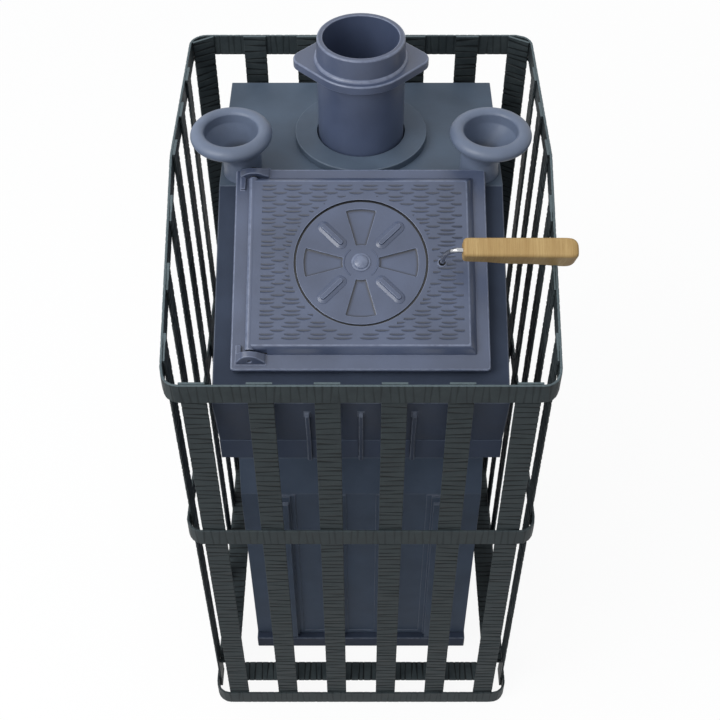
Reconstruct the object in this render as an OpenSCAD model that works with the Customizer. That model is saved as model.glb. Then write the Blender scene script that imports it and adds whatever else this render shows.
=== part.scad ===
// Wood-burning sauna stove: a cast iron firebox with a closed stone heater on top,
// standing in a cage of flat steel strip that holds the sauna stones round it.
// Millimetres, +Z up. The origin is on the floor at the middle of the cage.
// -Y is the sauna side with the sloping heater door, +Y the side with the fuel tunnel.

/* [Cage] */
// Width of the cage outside its rings
cage_w = 580; // [560:5:620]
// Depth of the cage outside its rings
cage_d = 660; // [655:5:700]
// Height of the level back part of the top ring
cage_h = 1124; // [1110:2:1160]
// Height of the top ring at the front
cage_front_h = 967; // [960:1:975]
// Where the top ring starts to slope, behind the cage's front
cage_knee_y = 329; // [315:1:340]
// Outer radius of the rings' corners
cage_corner_r = 29; // [26:1:34]
// Thickness of the flat strip
strip_t = 4; // [3:0.5:4.5]
// Height of the rings' strip
ring_h = 37; // [34:1:40]
// Height of the middle ring's lower edge
mid_ring_z = 567; // [540:1:620]
// Width of the upright strips
bar_w = 38; // [30:1:42]
// Number of uprights in the front and in each side
bar_count = 6; // [5:1:7]
// Number of uprights in the back
back_bar_count = 5; // [3:1:5]
// Height of the stone shelf's upper face
shelf_z = 80; // [70:1:90]
// Width of the stone shelf's strips
shelf_w = 39; // [30:1:40]

/* [Firebox] */
// Width of the firebox casting
firebox_w = 424; // [410:2:430]
// Front of the firebox, behind the cage's front
firebox_front_y = 128; // [115:1:135]
// Back of the firebox, behind the cage's front
firebox_back_y = 610; // [606:1:618]
// Height of the firebox's lower edge
firebox_z = 56; // [54:1:60]
// Height of the shoulder's lower edge
shoulder_z = 534; // [500:1:560]
// Height of the sloping shoulder
shoulder_h = 67; // [50:1:80]
// How far the throat stands back from the firebox's front
shoulder_in = 28; // [20:1:40]
// Wall of the firebox casting
firebox_wall = 10; // [8:0.5:12]
// Space between the upright ribs on the firebox's front
rib_pitch = 90; // [80:1:100]
// How far those ribs stand out
rib_out = 12; // [8:1:15]
// Height of the base plate
base_h = 32; // [26:1:32]
// Height of the feet under the base plate
foot_h = 20; // [16:1:20]
// Width of each foot
foot_w = 46; // [36:1:60]

/* [Heater] */
// Width of the heater housing
housing_w = 444; // [440:2:460]
// Front edge of the housing's slope, behind the cage's front
housing_front_y = 28; // [20:1:36]
// Height of that edge
housing_front_z = 898; // [890:1:905]
// Height of the housing's flat top
top_z = 1055; // [1045:1:1062]
// Height of the housing's lower edge
housing_z = 737; // [725:1:745]
// Height of the upright rim at the housing's lower edge
rim_h = 44; // [30:1:60]
// How far the rim stands back from the front edge
rim_in = 24; // [15:1:30]
// Wall of the housing
housing_wall = 8; // [6:0.5:8]
// Slope of the housing's front
heater_angle = 26.6; // [26:0.1:27]
// Wall of the stone hopper
hopper_wall = 6; // [4:0.5:8]

/* [Flue and funnels] */
// Flue axis, behind the cage's front
flue_y = 470; // [465:1:480]
// Inside radius of the flue socket
flue_bore_r = 59; // [56:0.5:60]
// Outside radius of the flue pipe
flue_pipe_r = 69; // [68:0.5:70]
// Height of the flue socket's top
flue_top_z = 1240; // [1230:1:1260]
// Height of the lugged flange's lower face
flange_z = 1189; // [1180:1:1195]
// Thickness of the lugged flange
flange_t = 14; // [10:1:16]
// Half length of the lugged flange
flange_reach = 105; // [100:1:110]
// Radius of the ring on the top plate
flue_ring_r = 107; // [100:1:110]
// Height of that ring
flue_ring_h = 12; // [8:1:14]
// Funnel rim centres in from the housing's sides
funnel_in = 23; // [19:1:27]
// Funnel rim centres behind the cage's front
funnel_y = 371; // [369:1:378]
// Height of the funnels' rims
funnel_z = 1142; // [1130:1:1150]
// Outside radius of the funnels' rims
funnel_r = 63; // [56:1:64]

/* [Doors] */
// Width of the heater door's frame
heater_frame_w = 385; // [375:1:395]
// Length of the heater door's frame up the slope
heater_frame_l = 323; // [319:1:327]
// How far the fire door's frame stands out past the tunnel at each side
fire_frame_side = 20; // [16:1:24]
// Height of the fire door's frame
fire_frame_l = 320; // [310:1:330]
// Thickness of a door frame's plate
frame_t = 12; // [10:0.5:13]
// Thickness of a door
door_t = 13.5; // [12:0.5:16]
// Radius of a hinge barrel
hinge_r = 7; // [6.5:0.25:7.25]
// Radius of a hinge pin
pin_r = 3; // [2.5:0.25:3.5]
// Radius of the regulator disc
disc_r = 100; // [90:1:102]
// Thickness of the regulator disc
disc_t = 3.5; // [3:0.5:4]

/* [Handles] */
// Radius of the latch rods
rod_r = 3.5; // [3:0.25:4]
// How far a latch rod rises above its door
rod_rise = 66; // [64:1:72]
// Length of a wooden grip
grip_l = 166; // [150:1:170]
// Thickness of a wooden grip at its thin end
grip_t = 26; // [22:1:28]
// Width of a wooden grip
grip_w = 31; // [24:1:34]

/* [Fuel tunnel] */
// Width of the tunnel outside
tunnel_w = 300; // [290:2:300]
// How far the tunnel reaches behind the cage
tunnel_out = 130; // [110:1:180]
// Wall of the tunnel
tunnel_wall = 6; // [4:0.5:8]
// Height of the tunnel's lower face
tunnel_z = 66; // [64:1:68]
// Height of the shelf between the ash port and the fire port
port_shelf_z = 142; // [138:1:146]
// Space beside the ash drawer in the tunnel
drawer_side_gap = 9; // [4:1:12]
// Length of the ash drawer
drawer_l = 560; // [500:5:580]

/* [Hidden] */
$fn = 64;

// Colours
CAGE = "#333b3c";
IRON = "#5d6579";
DARK_IRON = "#3a4152";
WOOD = "#c4a46a";
CHROME = "#d8dbe0";
ROPE = "#2a2a2a";
STEEL = "#8c9097";

// Clearances
run_gap = 0.3;
pin_gap = 0.05;
cut = 1;

// Cage, worked out
bar_y = strip_t;
inner_x = cage_w / 2 - strip_t;
bar_in_x = inner_x - strip_t;
ring_r_in = cage_corner_r - strip_t;
slope_start_y = 10;
cage_slope = atan((cage_h - cage_front_h) / (cage_knee_y - slope_start_y));
front_edge_x = 47;
front_pitch = (cage_w - 2 * front_edge_x) / (bar_count - 1);
side_first_y = 56;
side_last_y = cage_d - 117;
side_pitch = (side_last_y - side_first_y) / (bar_count - 1);
back_edge_x = 109;
back_pitch = (cage_w - 2 * back_edge_x) / (back_bar_count - 1);
corner_bar_angle = 30;
weld_gap = 0.1;
tie_x = cage_w / 2 - back_edge_x - back_pitch / 2;
tie_w = 30;
shelf_side_y = bar_y + strip_t + shelf_w;
shelf_back_gap = 60;
shelf_side_back_y = cage_d - shelf_back_gap;

// Base and firebox, worked out
base_front_y = firebox_front_y - 13;
base_w = firebox_w + 2;
base_back_y = firebox_back_y + 2;
foot_x = 162;
foot_d = 44;
foot_in = 8;
throat_front_y = firebox_front_y + shoulder_in;
firebox_floor_z = firebox_z + firebox_wall;
fire_ledge_w = 14;
panel_out = 1.5;
ledge_h = 10;
hearth_t = 10;
hearth_z = port_shelf_z - 2;
grate_w = 250;
grate_l = 290;
grate_y = 190;
grate_seat = 8;
grate_slot = 10;
grate_bar = 12;
baffle_z = shoulder_z + shoulder_h + 10;
baffle_t = 10;
baffle_gap = 120;

// Heater housing, worked out
slope_rise = top_z - housing_front_z;
knee_y = housing_front_y + slope_rise / tan(heater_angle);
housing_back_y = firebox_back_y + 10;
rim_y = housing_front_y + rim_in;
rim_top_z = housing_z + rim_h;
top_t = 8;
slope_drop = housing_wall / cos(heater_angle);
top_ledge = 8;
heater_mid_s = 206;
housing_rib_pitch = 81;
housing_rib_w = 7.5;
housing_rib_out = 7;
housing_rib_top_z = housing_front_z - 26;
hopper_w = housing_w - 2 * housing_wall - 12;
hopper_front_y = housing_front_y + 59;
hopper_back_y = knee_y - 12;
hopper_z = housing_z + 33;
funnel_x = housing_w / 2 - funnel_in;
neck_x = funnel_x - 13;
neck_y = funnel_y + 5;
neck_r = 30;
neck_gap = 1.5;
neck_top_z = top_z + 30;
duct_half = 22;
duct_bore_half = 17;
duct_h = 120;
duct_arm_z = top_z - 100;
duct_arm_half = 19;
duct_arm_bore = 15;

// Doors, worked out
frame_lift = 8;
frame_top = frame_lift + frame_t;
frame_r = 5;
frame_neck_in = 12;
frame_neck_w = 15;
door_gap = 0.5;
door_z = frame_top + door_gap;
door_top = door_z + door_t;
door_chamfer = 4;
door_draft = 5.5;
door_dy = 5;
hinge_z = frame_top + hinge_r + run_gap;
hinge_inset = 27.5;
edge_inset = 20;
door_l_less = 38;
open_w_less = 85;
open_l_less = 73;
seal_w = 8;
seal_land = 2.5;
seal_depth = 5;
lug_t = 13;
lug_gap = 1.5;
lug_r = 16;
lug_w = 46;
disc_gap = 1.5;
disc_floor = 8.5;
disc_z = door_z + disc_floor + run_gap;
disc_dy = -1;
disc_y = door_dy + disc_dy;
port_half = 15.5;
port_in = 0.28;
port_out = 0.865;
rivet_r = 4;
hub_r = 14.7;
boss_r = 7;
latch_inset = 70.5;
latch_dy = 3;
cam_l = 38;
cam_w = 12;
cam_t = 5;
cam_z = 1;
cam_turn = 60;
rod_tilt = 6.2;
bend_r = 14;
rod_collar_z = 1.5;
rod_collar_h = 5;
grip_start = 25.5;
grip_rod_in = 60;
grip_top = grip_t * 0.58;

// Tunnel, worked out
fire_frame_w = tunnel_w + 2 * fire_frame_side;
tunnel_front_y = firebox_back_y;
tunnel_end_y = cage_d + tunnel_out;
fire_mid_z = port_shelf_z + 10 + fire_frame_l / 2;
fire_open_l = fire_frame_l - open_l_less;
tunnel_top_z = fire_mid_z + fire_open_l / 2 + tunnel_wall + 8;
port_wall = 8;
tunnel_flange_t = 8;
tunnel_flange_out = 22;
drawer_t = 2;
drawer_h = 58;
drawer_front_t = 5;
drawer_w = tunnel_w - 2 * tunnel_wall - 2 * drawer_side_gap;
drawer_front_w = tunnel_w - 6;
drawer_z = tunnel_z + tunnel_wall + run_gap;
drawer_back_y = tunnel_end_y + run_gap;
handle_r = 4;
handle_w = 100;
handle_out = 32;
handle_bend = 12;

// Height of the cage's sloping top line above a place y behind the cage's front
function ring_top(y) = y < slope_start_y ? cage_front_h
    : y > cage_knee_y ? cage_h
    : cage_front_h + (y - slope_start_y) * tan(cage_slope);
// Place of the housing's undercut front face at a height z
function face_y(z) = rim_y - (z - rim_top_z) * rim_in / (housing_front_z - rim_top_z);
// Height of the sloping wall's inner face above a place y
function slope_in_z(y) = housing_front_z + (y - housing_front_y) * tan(heater_angle) - slope_drop;

// Places children that are drawn with y counted from the cage's front face
module from_front() {
    translate([0, -cage_d / 2, 0]) children();
}

// An outline in y and z, drawn out to a width w across the middle
module across(w, points) {
    translate([-w / 2, 0, 0]) rotate([90, 0, 90]) linear_extrude(w) polygon(points);
}

// A box with its x centred and its other corners given
module slab(w, y0, y1, z0, z1) {
    translate([-w / 2, y0, z0]) cube([w, y1 - y0, z1 - z0]);
}

// A rectangle with round corners, centred
module round_rect(w, l, r) {
    square([w - 2 * r, l], center = true);
    square([w, l - 2 * r], center = true);
    for (x = [-1, 1], y = [-1, 1])
        translate([x * (w / 2 - r), y * (l / 2 - r)]) circle(r);
}

// The outline of a ring of strip, seen from above
module ring_outline() {
    translate([0, cage_d / 2]) difference() {
        round_rect(cage_w, cage_d, cage_corner_r);
        round_rect(cage_w - 2 * strip_t, cage_d - 2 * strip_t, ring_r_in);
    }
}

// A level ring of strip
module level_ring(z) {
    color(CAGE) from_front() translate([0, 0, z]) linear_extrude(ring_h) ring_outline();
}

module cage_top_ring() {
    color(CAGE) from_front() intersection() {
        linear_extrude(cage_h + cut) ring_outline();
        across(cage_w + 2, [
            [-cut, cage_front_h - ring_h], [slope_start_y, cage_front_h - ring_h],
            [cage_knee_y, cage_h - ring_h], [cage_d + cut, cage_h - ring_h],
            [cage_d + cut, cage_h], [cage_knee_y, cage_h],
            [slope_start_y, cage_front_h], [-cut, cage_front_h]]);
    }
}

module cage_mid_ring() {
    level_ring(mid_ring_z);
}

module cage_bottom_ring() {
    level_ring(0);
}

module cage_front_bars() {
    color(CAGE) from_front() for (i = [0 : bar_count - 1])
        translate([front_edge_x - cage_w / 2 + i * front_pitch, 0, 0])
            slab(bar_w, bar_y, bar_y + strip_t, 0, cage_front_h);
}

// Uprights of one side, cut off along the top ring's upper edge
module side_bars(side) {
    color(CAGE) from_front() translate([side * (inner_x - strip_t / 2), 0, 0])
        for (i = [0 : bar_count - 1]) {
            y0 = side_first_y + i * side_pitch - bar_w / 2;
            y1 = y0 + bar_w;
            knee = y0 < cage_knee_y && y1 > cage_knee_y ? [[cage_knee_y, cage_h]] : [];
            across(strip_t, concat([[y0, 0], [y1, 0], [y1, ring_top(y1)]], knee, [[y0, ring_top(y0)]]));
        }
}

module cage_left_bars() {
    side_bars(-1);
}

module cage_right_bars() {
    side_bars(1);
}

// The back's uprights stop at the middle ring, so that the fuel tunnel can pass below
module cage_back_bars() {
    color(CAGE) from_front() for (i = [0 : back_bar_count - 1])
        translate([back_edge_x - cage_w / 2 + i * back_pitch, 0, 0])
            slab(bar_w, cage_d - 2 * strip_t, cage_d - strip_t, mid_ring_z, cage_h);
}

// An upright set across a back corner of the rings
module corner_bar(side) {
    reach = ring_r_in - bar_w * sin(corner_bar_angle);
    outer_x = inner_x - ring_r_in + sqrt(pow(ring_r_in - weld_gap, 2) - pow(reach, 2));
    color(CAGE) from_front() mirror([side < 0 ? 1 : 0, 0, 0])
        translate([outer_x, cage_d - strip_t - bar_w * sin(corner_bar_angle) - weld_gap, 0])
            rotate([0, 0, 180 - corner_bar_angle]) cube([bar_w, strip_t, cage_h]);
}

module cage_left_corner_bar() {
    corner_bar(-1);
}

module cage_right_corner_bar() {
    corner_bar(1);
}

module cage_shelf_front() {
    color(CAGE) from_front()
        slab(cage_w - 4 * strip_t - shelf_w, bar_y + strip_t, shelf_side_y, shelf_z - strip_t, shelf_z);
}

// A strip laid flat along one side, where the stones rest
module side_shelf(side) {
    color(CAGE) from_front() translate([side * (bar_in_x - shelf_w / 2), 0, 0])
        slab(shelf_w, shelf_side_y, shelf_side_back_y, shelf_z - strip_t, shelf_z);
}

module cage_shelf_left() {
    side_shelf(-1);
}

module cage_shelf_right() {
    side_shelf(1);
}

// A strip that ties the middle ring to the back of the firebox
module rear_tie(side) {
    tie_z = mid_ring_z + ring_h / 2;
    color(CAGE) from_front() translate([side * tie_x, 0, 0]) {
        slab(tie_w, firebox_back_y, cage_d - strip_t, tie_z, tie_z + strip_t);
        slab(tie_w, firebox_back_y, firebox_back_y + strip_t, tie_z - tie_w, tie_z);
    }
}

module cage_left_tie() {
    rear_tie(-1);
}

module cage_right_tie() {
    rear_tie(1);
}

module base_plate() {
    color(IRON) from_front() difference() {
        slab(base_w, base_front_y, base_back_y, foot_h, foot_h + base_h);
        slab(base_w - 50, base_front_y + 25, base_back_y - 25, foot_h - cut, foot_h + base_h - 12);
    }
}

// One foot, a short tapered block under the base plate's corner
module foot(side, y) {
    color(DARK_IRON) from_front() translate([side * foot_x, y, 0])
        across(foot_w, [[3, 0], [foot_d - 3, 0], [foot_d, foot_h], [0, foot_h]]);
}

module front_left_foot() {
    foot(-1, base_front_y + foot_in);
}

module front_right_foot() {
    foot(1, base_front_y + foot_in);
}

module rear_left_foot() {
    foot(-1, base_back_y - foot_in - foot_d);
}

module rear_right_foot() {
    foot(1, base_back_y - foot_in - foot_d);
}

// Rope between the base plate and the firebox, a little inside their edges
module base_seal() {
    z0 = foot_h + base_h;
    color(ROPE) from_front() difference() {
        slab(firebox_w - 12, firebox_front_y + 6, firebox_back_y - 6, z0, firebox_z);
        slab(firebox_w - 36, firebox_front_y + 18, firebox_back_y - 18, z0 - cut, firebox_z + cut);
    }
}

// An upright rib in steps on the firebox's front
module firebox_rib() {
    foot_rib_w = 19;
    rib_w = 12;
    rib_base = 5;
    slab(foot_rib_w + 18, firebox_front_y - panel_out, firebox_front_y + cut,
        firebox_z, shoulder_z - 2);
    slab(foot_rib_w, firebox_front_y - rib_base, firebox_front_y + cut, firebox_z, shoulder_z - 3);
    slab(rib_w, firebox_front_y - rib_out, firebox_front_y + cut, firebox_z, shoulder_z - 18);
}

module firebox_casting() {
    w = firebox_wall;
    shoulder_top_z = shoulder_z + shoulder_h;
    color(IRON) from_front() {
        difference() {
            across(firebox_w, [
                [firebox_front_y, firebox_z], [firebox_front_y, shoulder_z],
                [throat_front_y, shoulder_top_z], [throat_front_y, housing_z],
                [firebox_back_y, housing_z], [firebox_back_y, firebox_z]]);
            across(firebox_w - 2 * w, [
                [firebox_front_y + w, firebox_floor_z], [firebox_front_y + w, shoulder_z - 2],
                [throat_front_y + w, shoulder_top_z - 2], [throat_front_y + w, housing_z + cut],
                [firebox_back_y - w, housing_z + cut], [firebox_back_y - w, firebox_floor_z]]);
            slab(tunnel_w - 2 * tunnel_wall, firebox_back_y - w - cut, firebox_back_y + cut,
                port_shelf_z + port_wall, tunnel_top_z - tunnel_wall);
            slab(tunnel_w - 2 * tunnel_wall, firebox_back_y - w - cut, firebox_back_y + cut,
                tunnel_z + tunnel_wall, port_shelf_z);
        }
        for (i = [-1.5 : 1 : 1.5])
            translate([i * rib_pitch, 0, 0]) firebox_rib();
        slab(3 * rib_pitch, firebox_front_y - panel_out, firebox_front_y + cut,
            firebox_z, firebox_z + 9);
        for (x = [-1, 1])
            translate([x * (firebox_w / 2 - w - fire_ledge_w / 2), 0, 0]) {
                slab(fire_ledge_w, firebox_front_y + w, firebox_back_y - w,
                    hearth_z - ledge_h, hearth_z);
                slab(fire_ledge_w, throat_front_y + w, firebox_back_y - w,
                    baffle_z - ledge_h, baffle_z);
            }
    }
}

module hearth_plate() {
    gap = 1;
    w = firebox_wall + gap;
    color(DARK_IRON) from_front() difference() {
        slab(firebox_w - 2 * w, firebox_front_y + w, firebox_back_y - w, hearth_z, hearth_z + hearth_t);
        slab(grate_w - 2 * grate_seat, grate_y + grate_seat, grate_y + grate_l - grate_seat,
            hearth_z - cut, hearth_z + hearth_t + cut);
    }
}

module fire_grate() {
    pitch = grate_slot + grate_bar;
    slots = floor((grate_w - 2 * grate_seat - grate_bar) / pitch);
    first = -(slots - 1) * pitch / 2;
    z0 = hearth_z + hearth_t;
    color(DARK_IRON) from_front() difference() {
        slab(grate_w, grate_y, grate_y + grate_l, z0, z0 + 14);
        for (i = [0 : slots - 1], half = [0, 1])
            translate([first + i * pitch, half * (grate_l / 2 - 4), 0])
                slab(grate_slot, grate_y + 16, grate_y + grate_l / 2 - 12, z0 - cut, z0 + 14 + cut);
    }
}

// A plate over the fire that turns the flames back under the stone hopper
module flame_baffle() {
    gap = 1;
    w = firebox_wall + gap;
    color(DARK_IRON) from_front()
        slab(firebox_w - 2 * w, throat_front_y + w, firebox_back_y - baffle_gap,
            baffle_z, baffle_z + baffle_t);
}

// Places children on the housing's slope: x across, y up the slope, z out of it
module on_slope() {
    from_front() translate([0, housing_front_y, housing_front_z]) rotate([heater_angle, 0, 0])
        translate([0, heater_mid_s, 0]) children();
}

// An upright rib on the housing's undercut front
module housing_rib() {
    out = housing_rib_out;
    across(housing_rib_w, [
        [rim_y + cut, housing_z], [rim_y - out, housing_z], [rim_y - out, rim_top_z],
        [face_y(housing_rib_top_z - out) - out, housing_rib_top_z - out],
        [face_y(housing_rib_top_z) + cut, housing_rib_top_z]]);
}

module heater_housing() {
    w = housing_wall;
    mouth_w = heater_frame_w - open_w_less;
    mouth_l = heater_frame_l - open_l_less;
    color(IRON) {
        difference() {
            from_front() difference() {
                across(housing_w, [
                    [rim_y, housing_z], [rim_y, rim_top_z], [housing_front_y, housing_front_z],
                    [knee_y, top_z], [knee_y, top_z - top_t],
                    [housing_back_y, top_z - top_t], [housing_back_y, housing_z]]);
                across(housing_w - 2 * w, [
                    [rim_y + w, housing_z + w], [rim_y + w, rim_top_z],
                    [housing_front_y + w, slope_in_z(housing_front_y + w)],
                    [knee_y - top_ledge, slope_in_z(knee_y - top_ledge)],
                    [knee_y + top_ledge, slope_in_z(knee_y - top_ledge)],
                    [knee_y + top_ledge, top_z], [housing_back_y - w, top_z],
                    [housing_back_y - w, housing_z + w]]);
                slab(firebox_w - 2 * firebox_wall, throat_front_y + firebox_wall,
                    firebox_back_y - firebox_wall, housing_z - cut, housing_z + w + cut);
            }
            on_slope() translate([-mouth_w / 2, -mouth_l / 2, -2 * w])
                cube([mouth_w, mouth_l, 3 * w]);
        }
        from_front() for (i = [-1 : 1])
            translate([i * housing_rib_pitch, 0, 0]) housing_rib();
    }
}

module top_plate() {
    color(IRON) from_front() difference() {
        slab(housing_w, knee_y, housing_back_y, top_z - top_t, top_z);
        translate([0, flue_y, top_z - top_t - cut]) cylinder(r = flue_pipe_r + 1, h = top_t + 2 * cut);
        for (x = [-1, 1])
            translate([x * neck_x, neck_y, top_z - top_t - cut])
                cylinder(r = duct_bore_half, h = top_t + 2 * cut);
    }
}

// The inner box that holds the stones, hung under the slope with its mouth at the door
module stone_hopper() {
    w = hopper_wall;
    color(DARK_IRON) from_front() difference() {
        across(hopper_w, [
            [hopper_front_y, hopper_z], [hopper_front_y, slope_in_z(hopper_front_y)],
            [hopper_back_y, slope_in_z(hopper_back_y)], [hopper_back_y, hopper_z]]);
        across(hopper_w - 2 * w, [
            [hopper_front_y + w, hopper_z + w], [hopper_front_y + w, top_z],
            [hopper_back_y - w, top_z], [hopper_back_y - w, hopper_z + w]]);
        for (x = [-1, 1])
            translate([x * neck_x, 0, 0]) slab(2 * duct_arm_bore, hopper_back_y - w - cut,
                hopper_back_y + cut, duct_arm_z - duct_arm_bore, duct_arm_z + duct_arm_bore);
    }
}

// The square duct that leads a funnel's water down and forward into the stone hopper
module steam_duct(side) {
    low_z = top_z - top_t - duct_h;
    color(DARK_IRON) from_front() translate([side * neck_x, 0, 0]) difference() {
        union() {
            slab(2 * duct_half, neck_y - duct_half, neck_y + duct_half, low_z, top_z - top_t);
            slab(2 * duct_arm_half, hopper_back_y, neck_y,
                duct_arm_z - duct_arm_half, duct_arm_z + duct_arm_half);
        }
        slab(2 * duct_bore_half, neck_y - duct_bore_half, neck_y + duct_bore_half,
            duct_arm_z - duct_arm_bore, top_z);
        slab(2 * duct_arm_bore, hopper_back_y - cut, neck_y,
            duct_arm_z - duct_arm_bore, duct_arm_z + duct_arm_bore);
    }
}

module left_steam_duct() {
    steam_duct(-1);
}

module right_steam_duct() {
    steam_duct(1);
}

// A tube through round level rings, each given as [centre x, centre y, radius, height]
module ring_loft(rings, sides) {
    n = len(rings);
    points = [for (g = rings, k = [0 : sides - 1])
        [g[0] + g[2] * cos(360 * k / sides), g[1] + g[2] * sin(360 * k / sides), g[3]]];
    faces = [for (i = [0 : n - 1], k = [0 : sides - 1], half = [0, 1])
        let (j = (i + 1) % n, m = (k + 1) % sides)
        half == 0 ? [i * sides + k, j * sides + k, j * sides + m]
            : [i * sides + k, j * sides + m, i * sides + m]];
    polyhedron(points, faces);
}

// A cast funnel with a straight neck and a rolled rim that leans outwards and forwards
module steam_funnel(side) {
    sides = 36;
    lip_r = 11;
    wall = 5;
    foot_h = 4;
    bore_r = neck_r - wall - 4;
    lean = [funnel_x - neck_x, funnel_y - neck_y];
    mouth_r = funnel_r - lip_r;
    lip_z = funnel_z - lip_r;
    flare_h = lip_z - 0.8 * lip_r - neck_top_z;
    // Outside, from the foot up to the rolled lip
    outside = [for (k = [0 : 5]) let (t = k / 5)
        [lean[0] * t, lean[1] * t, neck_r + (mouth_r - neck_r) * pow(t, 2.2), neck_top_z + flare_h * t]];
    lip = [for (a = [-60 : 30 : 180])
        [lean[0], lean[1], mouth_r + lip_r * cos(a), lip_z + lip_r * sin(a)]];
    inside = [for (k = [4 : -1 : 0]) let (t = k / 5)
        [lean[0] * t, lean[1] * t, bore_r + (mouth_r - lip_r - bore_r) * pow(t, 1.8),
            neck_top_z + flare_h * t + 2]];
    base = [[0, 0, bore_r, top_z], [0, 0, neck_r + 1, top_z], [0, 0, neck_r + 1, top_z + foot_h],
        [0, 0, neck_r, top_z + foot_h + 1]];
    color(IRON) from_front() translate([side * neck_x, neck_y, 0]) mirror([side < 0 ? 1 : 0, 0, 0])
        ring_loft(concat(base, outside, lip, inside), sides);
}

module left_steam_funnel() {
    steam_funnel(-1);
}

module right_steam_funnel() {
    steam_funnel(1);
}

module flue_base_ring() {
    color(IRON) from_front() translate([0, flue_y, top_z]) difference() {
        cylinder(r = flue_ring_r, h = flue_ring_h);
        translate([0, 0, -cut]) cylinder(r = flue_pipe_r + 1.8, h = flue_ring_h + 2 * cut);
    }
}

// The smoke outlet, hung from a rim under the top plate
module flue_pipe() {
    rim_t = 8;
    rim_out = 13;
    low_z = top_z - top_t - rim_t;
    color(IRON) from_front() translate([0, flue_y, low_z]) difference() {
        union() {
            cylinder(r = flue_pipe_r, h = flange_z - low_z);
            cylinder(r = flue_pipe_r + rim_out, h = rim_t);
        }
        translate([0, 0, -cut]) cylinder(r = flue_bore_r + 2, h = flange_z - low_z + 2 * cut);
    }
}

// Points along an arc about a centre on the x axis
function arc(x, r, a0, a1, n) = [for (k = [0 : n]) let (a = a0 + (a1 - a0) * k / n)
    [x + r * cos(a), r * sin(a)]];

// The lugged flange's outline: a round plate drawn out to two small round ears
module flange_outline() {
    ear_r = 22;
    disc = flue_bore_r + 22;
    ear_x = flange_reach - ear_r;
    lean = acos((disc - ear_r) / ear_x);
    polygon(concat(
        arc(ear_x, ear_r, -lean, lean, 14), arc(0, disc, lean, 180 - lean, 16),
        arc(-ear_x, ear_r, 180 - lean, 180 + lean, 14), arc(0, disc, 180 + lean, 360 - lean, 16)));
}

module flue_collar() {
    collar_wall = 9;
    bead = 5;
    color(IRON) from_front() translate([0, flue_y, flange_z]) difference() {
        union() {
            linear_extrude(flange_t) flange_outline();
            cylinder(r = flue_bore_r + collar_wall, h = flue_top_z - flange_z);
            translate([0, 0, flange_t]) rotate_extrude()
                translate([flue_bore_r + collar_wall, 0]) circle(bead);
        }
        translate([0, 0, -cut]) cylinder(r = flue_bore_r, h = flue_top_z - flange_z + 2 * cut);
    }
}

// A closed frame of a rectangular section, centred, from its outer size
module flat_frame(w, l, side_w, z0, z1, r) {
    translate([0, 0, z0]) linear_extrude(z1 - z0) difference() {
        round_rect(w, l, r);
        round_rect(w - 2 * side_w, l - 2 * side_w, r / 2);
    }
}

// A lug of the hinge, standing on the frame's plate, from y to y + lug_t
module hinge_lug(hx, y) {
    shoulder = 5;
    translate([hx, y + lug_t, 0]) rotate([90, 0, 0]) difference() {
        union() {
            linear_extrude(lug_t) polygon([
                [-lug_w / 2, frame_top - cut], [lug_w / 2, frame_top - cut],
                [lug_w / 2, frame_top + shoulder],
                [lug_r * cos(35), hinge_z + lug_r * sin(35)],
                [-lug_r * cos(35), hinge_z + lug_r * sin(35)],
                [-lug_w / 2, frame_top + shoulder]]);
            translate([0, hinge_z, 0]) cylinder(r = lug_r, h = lug_t);
        }
        translate([0, hinge_z, -cut]) cylinder(r = pin_r + pin_gap, h = lug_t + 2 * cut);
    }
}

// A door's frame: a plate on a narrower neck, with the hinge's two lugs and the seal's groove
module door_frame(fw, fl) {
    hx = hinge_inset - fw / 2;
    barrel_half = (fl - door_l_less) / 2 - 3;
    open_w = fw - open_w_less;
    open_l = fl - open_l_less;
    difference() {
        union() {
            difference() {
                translate([0, 0, frame_lift]) linear_extrude(frame_t) round_rect(fw, fl, frame_r);
                translate([-open_w / 2, -open_l / 2, 0]) cube([open_w, open_l, frame_top + cut]);
            }
            flat_frame(fw - 2 * frame_neck_in, fl - 2 * frame_neck_in, frame_neck_w,
                0, frame_lift + 1, 4);
        }
        flat_frame(open_w + 2 * (seal_w + seal_land), open_l + 2 * (seal_w + seal_land), seal_w,
            frame_top - seal_depth, frame_top + cut, 4);
    }
    hinge_lug(hx, door_dy + barrel_half + lug_gap);
    hinge_lug(hx, door_dy - barrel_half - lug_gap - lug_t);
    for (y = [-1, 1])
        translate([hx - lug_w / 2, door_dy + y * (barrel_half - 7) - 10, frame_top - cut])
            cube([13, 20, 6]);
}

// The rope in the frame's groove
module door_seal(fw, fl) {
    out = 2 * (seal_w + seal_land);
    color(ROPE) flat_frame(fw - open_w_less + out, fl - open_l_less + out, seal_w,
        frame_top - seal_depth, door_z - run_gap, 4);
}

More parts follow.
